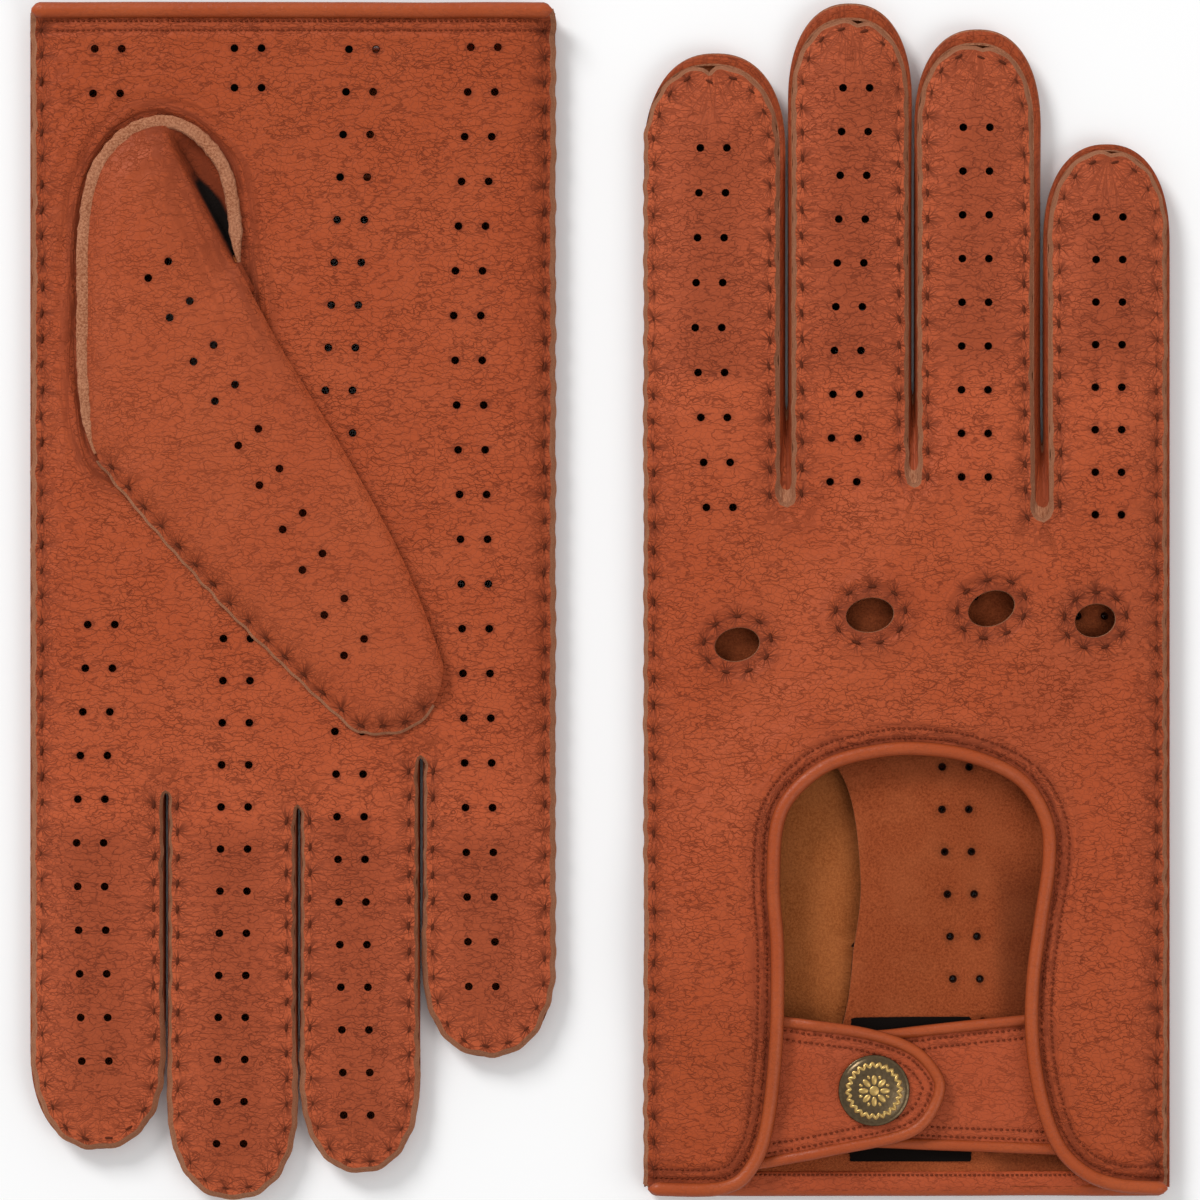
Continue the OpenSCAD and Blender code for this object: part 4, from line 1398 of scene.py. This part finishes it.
STRAP_EDGE = ((19.5, 6.4), (26, 7.3), (38.3, 9.8), (50, 12.2), (55.6, 15.2), (58.7, 21.3),
              (57.6, 25.4), (52.8, 30.0), (43, 33.2), (28, 35.3), (22.5, 35.9))
TAB_EDGE = ((81.5, 35.9), (66, 34.4), (49.8, 32.6), (40, 31.6), (38.4, 28.0), (38.2, 20),
            (38.4, 14.6), (40, 11.6), (51.2, 10.8), (66, 10.2), (83.5, 9.5))
SNAP = np.array((45.6, 21.6))


def flap(glove, name, edge, level):
    """Strap or tab: a piped flap of leather with sewn rows along its edge."""
    level = level + PROUD[glove.name]
    line = spline(edge, 0.6)
    n = left_normals(line)
    if np.sum(n * (line.mean(0) - line)) < 0:
        n = -n
    ring = line + n * 0.6
    grid_u, grid_v = np.meshgrid(np.arange(18, 88, 0.8), np.arange(4, 40, 0.8))
    grid = np.stack([grid_u, grid_v], -1).reshape(-1, 2) + (rng.random((grid_u.size, 2)) - 0.5) * 0.3
    grid = grid[inside(grid, ring)]
    grid = grid[edge_samples([ring])(grid)[1] > 0.45]
    uv, tri, _ = triangulate([ring], [], grid, lambda mid: inside(mid, ring))
    _, d = Nearest(resample(line, 0.3))(uv)
    u, v = uv[:, 0], uv[:, 1]

    def dip(x):
        """The strap sinks towards its root, under the piping of the opening."""
        return -1.7 * smooth(x, 35, 27.5) if name == "strap" else np.zeros(len(x))

    h = dip(u) + 0.05 * wave(u, v, 9, 4) + 0.25 * smooth(d, 1, 7)
    h = ridges(h, d, ((-0.35, 1.75, 0.40), (0.16, 2.6, 0.5), (-0.32, 3.5, 0.40)))
    if name == "strap":
        h = ridges(h, np.linalg.norm(uv - SNAP, axis=1), ((-0.45, 7.4, 1.6),))
        ripple = np.cos(TURN * ((u + 0.35 * v) / 2.1 + 0.3 * wave(u, v, 8, 4)))
        h += 0.13 * bell(u, 33, 5) * ripple
    top = np.stack([u, v, level + h], 1)
    low = np.stack([u, v, level + h - 1.05], 1)
    rim_a, rim_b, *_ = rim_of(uv, tri)
    k = len(uv)
    placed = glove.place(np.concatenate([top, low]))
    wall = np.stack([rim_a, rim_b, rim_b + k, rim_a + k], 1)[:, ::-1]
    under = tri[:, ::-1] + k
    # Painted shade along the machine-sewn rows, kept in the seam attribute.
    painted_shade = sum(0.35 * bell(d, at, 0.35) for at in FLAP_ROWS)
    seam = np.stack([u, np.full(k, 30.0), painted_shade], 1)
    grain = np.column_stack([uv, h + (60 if name == "strap" else 70)])
    obj = add_mesh(f"{glove.name}_{name}_leather", placed,
                   [(tri, 0, None), (under, 1, None), (wall, 2, None)], [M["strap"], M["suede"], M["raw"]],
                   {"rest": np.concatenate([grain, grain + [0, 0, 3]]), "seam": np.tile(seam, (2, 1))})
    attach(glove, obj, name)
    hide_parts(f"{glove.name}_{name}")
    path = np.column_stack([line, level - 0.25 + dip(line[:, 0])])
    verts, faces = tube(path, 1.15, 0.95, 12)
    finish_piece(glove, f"{name}_piping", verts, faces, M["piping"], name,
                 [f"{name}_binding"], flanks(verts, 12))
    if glove.palm_up:
        return
    rows, look = [], Nearest(uv)
    for offset in FLAP_ROWS:
        row = resample(line + n * offset, 0.4)
        run = arc(row)
        at = np.arange(1.0, run[-1] - 1.0, FLAP_PITCH)
        p, q = along(row, run, at), along(row, run, at + 0.4)
        spots, _ = look(p)
        rows += [(*x, level + h[s] + 0.06, math.atan2(*(y - x)[::-1]) + 0.22, 0.40, 1)
                 for x, y, s in zip(p, q, spots)]
    thread(glove, f"{glove.name}_{name}_stitches", rows, name, 0.18, M["sewing"])


def lathe(profile, proud=0.0, sides=48):
    """Solid of revolution about the snap's centre: radius, height pairs in mm."""
    turn = np.linspace(0, TURN, sides, endpoint=False)
    verts = np.array([[(SNAP[0] + r * math.cos(a), SNAP[1] + r * math.sin(a), w + proud) for a in turn]
                      for r, w in profile]).reshape(-1, 3)
    return verts, grid_faces(len(profile), sides, True)


def snaps(glove):
    """The snap: cap with its rosette, socket, stud and post."""
    proud = PROUD[glove.name]
    base, radius = 5.9 + proud, 6.6
    tall = 1.1 if glove.palm_up else 1.9
    profile = [(0.02, base), (radius, base), (7.05, base + 0.2), (7.15, base + 0.42),
               (7.0, base + 0.6), (6.75, base + 0.66)]
    profile += [(radius * math.cos(a), base + 0.55 + (tall - 0.55) * math.sin(a))
                for a in np.linspace(0.12, math.pi / 2 - 0.01, 12)]
    verts, faces = lathe(profile)
    finish_piece(glove, "snap_dome", verts, faces, M["bronze"], "strap", ["snap_cap"])
    if not glove.palm_up:
        def dome(r):
            t = min(r / radius, 0.99)
            return base + 0.55 + (tall - 0.55) * math.sqrt(1 - t * t)
        verts, faces = [], []

        def blob(r, angle, long, wide, turn=0.0):
            c, s = math.cos(angle), math.sin(angle)
            centre = SNAP + r * np.array([c, s])
            ca, sa = math.cos(angle + turn), math.sin(angle + turn)
            rings, sides = 5, 10
            start = len(verts)
            for i in range(rings):
                t = i / (rings - 1) * math.pi / 2
                for j in range(sides):
                    q = TURN * j / sides
                    x, y = long * math.cos(t) * math.cos(q), wide * math.cos(t) * math.sin(q)
                    p = centre + np.array([x * ca - y * sa, x * sa + y * ca])
                    verts.append((*p, dome(np.linalg.norm(p - SNAP)) - 0.08 + 0.28 * math.sin(t)))
            faces.append(grid_faces(rings, sides, True, start))

        blob(0, 0, 1.05, 1.05)
        for k in range(8):
            blob(2.15, k * math.pi / 4, 1.05, 0.60)
            blob(2.9, (k + 0.5) * math.pi / 4, 0.45, 0.35)
        for k in range(24):
            blob(5.15, k * math.pi / 12, 0.85, 0.36, 0.6)
            blob(5.15, (k + 0.5) * math.pi / 12, 0.85, 0.36, -0.6)
        finish_piece(glove, "snap_rosette", np.array(verts), np.concatenate(faces),
                     M["brass"], "strap")
    for name, body, node, profile in (
            ("snap_socket_ring", "strap", "snap_socket",
             ((2.7, 4.85), (2.75, 3.9), (3.0, 3.55), (3.7, 3.5), (4.1, 3.7), (4.2, 4.85))),
            ("snap_stud_knob", "tab", "snap_stud",
             ((2.2, 3.15), (1.95, 3.5), (2.1, 3.8), (1.9, 4.1), (1.2, 4.2), (0.02, 4.2))),
            ("snap_post_disc", "tab", "snap_post",
             ((0.02, 1.75), (3.2, 1.78), (3.9, 1.95), (4.0, 2.2)))):
        verts, faces = lathe(profile, proud)
        finish_piece(glove, name, verts, faces, M["brass"], body, [node])


def label(glove):
    """Blank woven label inside the palm."""
    u0, u1, v0, v1 = 39.8 if glove.palm_up else 41.0, 65.3, 7.0, 36.0
    lo = 1.15 + (0 if glove.palm_up else ARCH)
    hi = lo + 0.3
    corners = [(u0, v0), (u1, v0), (u1, v1), (u0, v1)]
    ring = resample(np.array(corners + corners[:1]), 0.8)[:-1]
    levels = ((0, lo), (0, hi - 0.08), (0.12, hi))
    mid = ring.mean(0)
    count = len(ring)
    verts = np.concatenate([np.column_stack([ring + (mid - ring) * (i / 14), np.full(count, w)])
                            for i, w in levels] + [np.array([[*mid, hi]])])
    i = np.arange(count)
    cap = np.stack([2 * count + i, 2 * count + np.roll(i, -1), np.full(count, 3 * count)], 1)
    obj = add_mesh(f"{glove.name}_label", glove.place(verts),
                   [(grid_faces(3, count, True), 0, None), (cap, 0, None)], [M["label"]],
                   points={"rest": verts})
    attach(glove, obj, "hand")
    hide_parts(f"{glove.name}_size_label")


for glove in gloves:
    skin(glove, "front")
    skin(glove, "back")
    for k in range(4):
        finger_sides(glove, k)
    thumb(glove)
    thumb_welt(glove)
    cuff(glove)
    opening(glove)
    flap(glove, "tab", TAB_EDGE, 3.2)
    flap(glove, "strap", STRAP_EDGE, 5.9)
    snaps(glove)
    label(glove)

# ---------------------------------------------------------------- floor, light, camera
FLOOR_Z, FLOOR_REACH = -0.0006, 6      # metres
CAMERA_Z = 1.3383
WORLD_STRENGTH = 0.59

t = Tree("pale_floor")
t.finish((0.95, 0.95, 0.95), 0.9, Specular_IOR_Level=0.1)
floor_mesh = bpy.data.meshes.new("floor")
corners = [(x * FLOOR_REACH, y * FLOOR_REACH, FLOOR_Z) for x, y in ((-1, -1), (1, -1), (1, 1), (-1, 1))]
floor_mesh.from_pydata(corners, [], [(0, 1, 2, 3)])
floor_mesh.materials.append(t.material)
floor = bpy.data.objects.new("floor", floor_mesh)
bpy.context.scene.collection.objects.link(floor)


def area(name, place, size, power):
    """A round lamp that faces the gloves."""
    data = bpy.data.lights.new(name, "AREA")
    data.shape, data.size, data.energy = "DISK", size, power
    lamp = bpy.data.objects.new(name, data)
    lamp.location = place
    lamp.rotation_euler = (-Vector(place)).to_track_quat("-Z", "Y").to_euler()
    bpy.context.scene.collection.objects.link(lamp)


area("key", (-1.5, 1.9, 1.7), 1.1, 52.0)
area("fill", (0.9, -0.5, 1.1), 0.9, 4.0)
world = bpy.data.worlds.new("studio")
bpy.context.scene.world = world
world.use_nodes = True
world.node_tree.nodes["Background"].inputs["Color"].default_value = (1, 1, 1, 1)
world.node_tree.nodes["Background"].inputs["Strength"].default_value = WORLD_STRENGTH

camera_data = bpy.data.cameras.new("camera")
camera_data.lens, camera_data.sensor_width = 200, 36
camera = bpy.data.objects.new("camera", camera_data)
camera.location = (0, 0, CAMERA_Z)
camera_data.clip_end = 20
bpy.context.scene.collection.objects.link(camera)
bpy.context.scene.camera = camera
bpy.context.scene.view_settings.view_transform = "Standard"
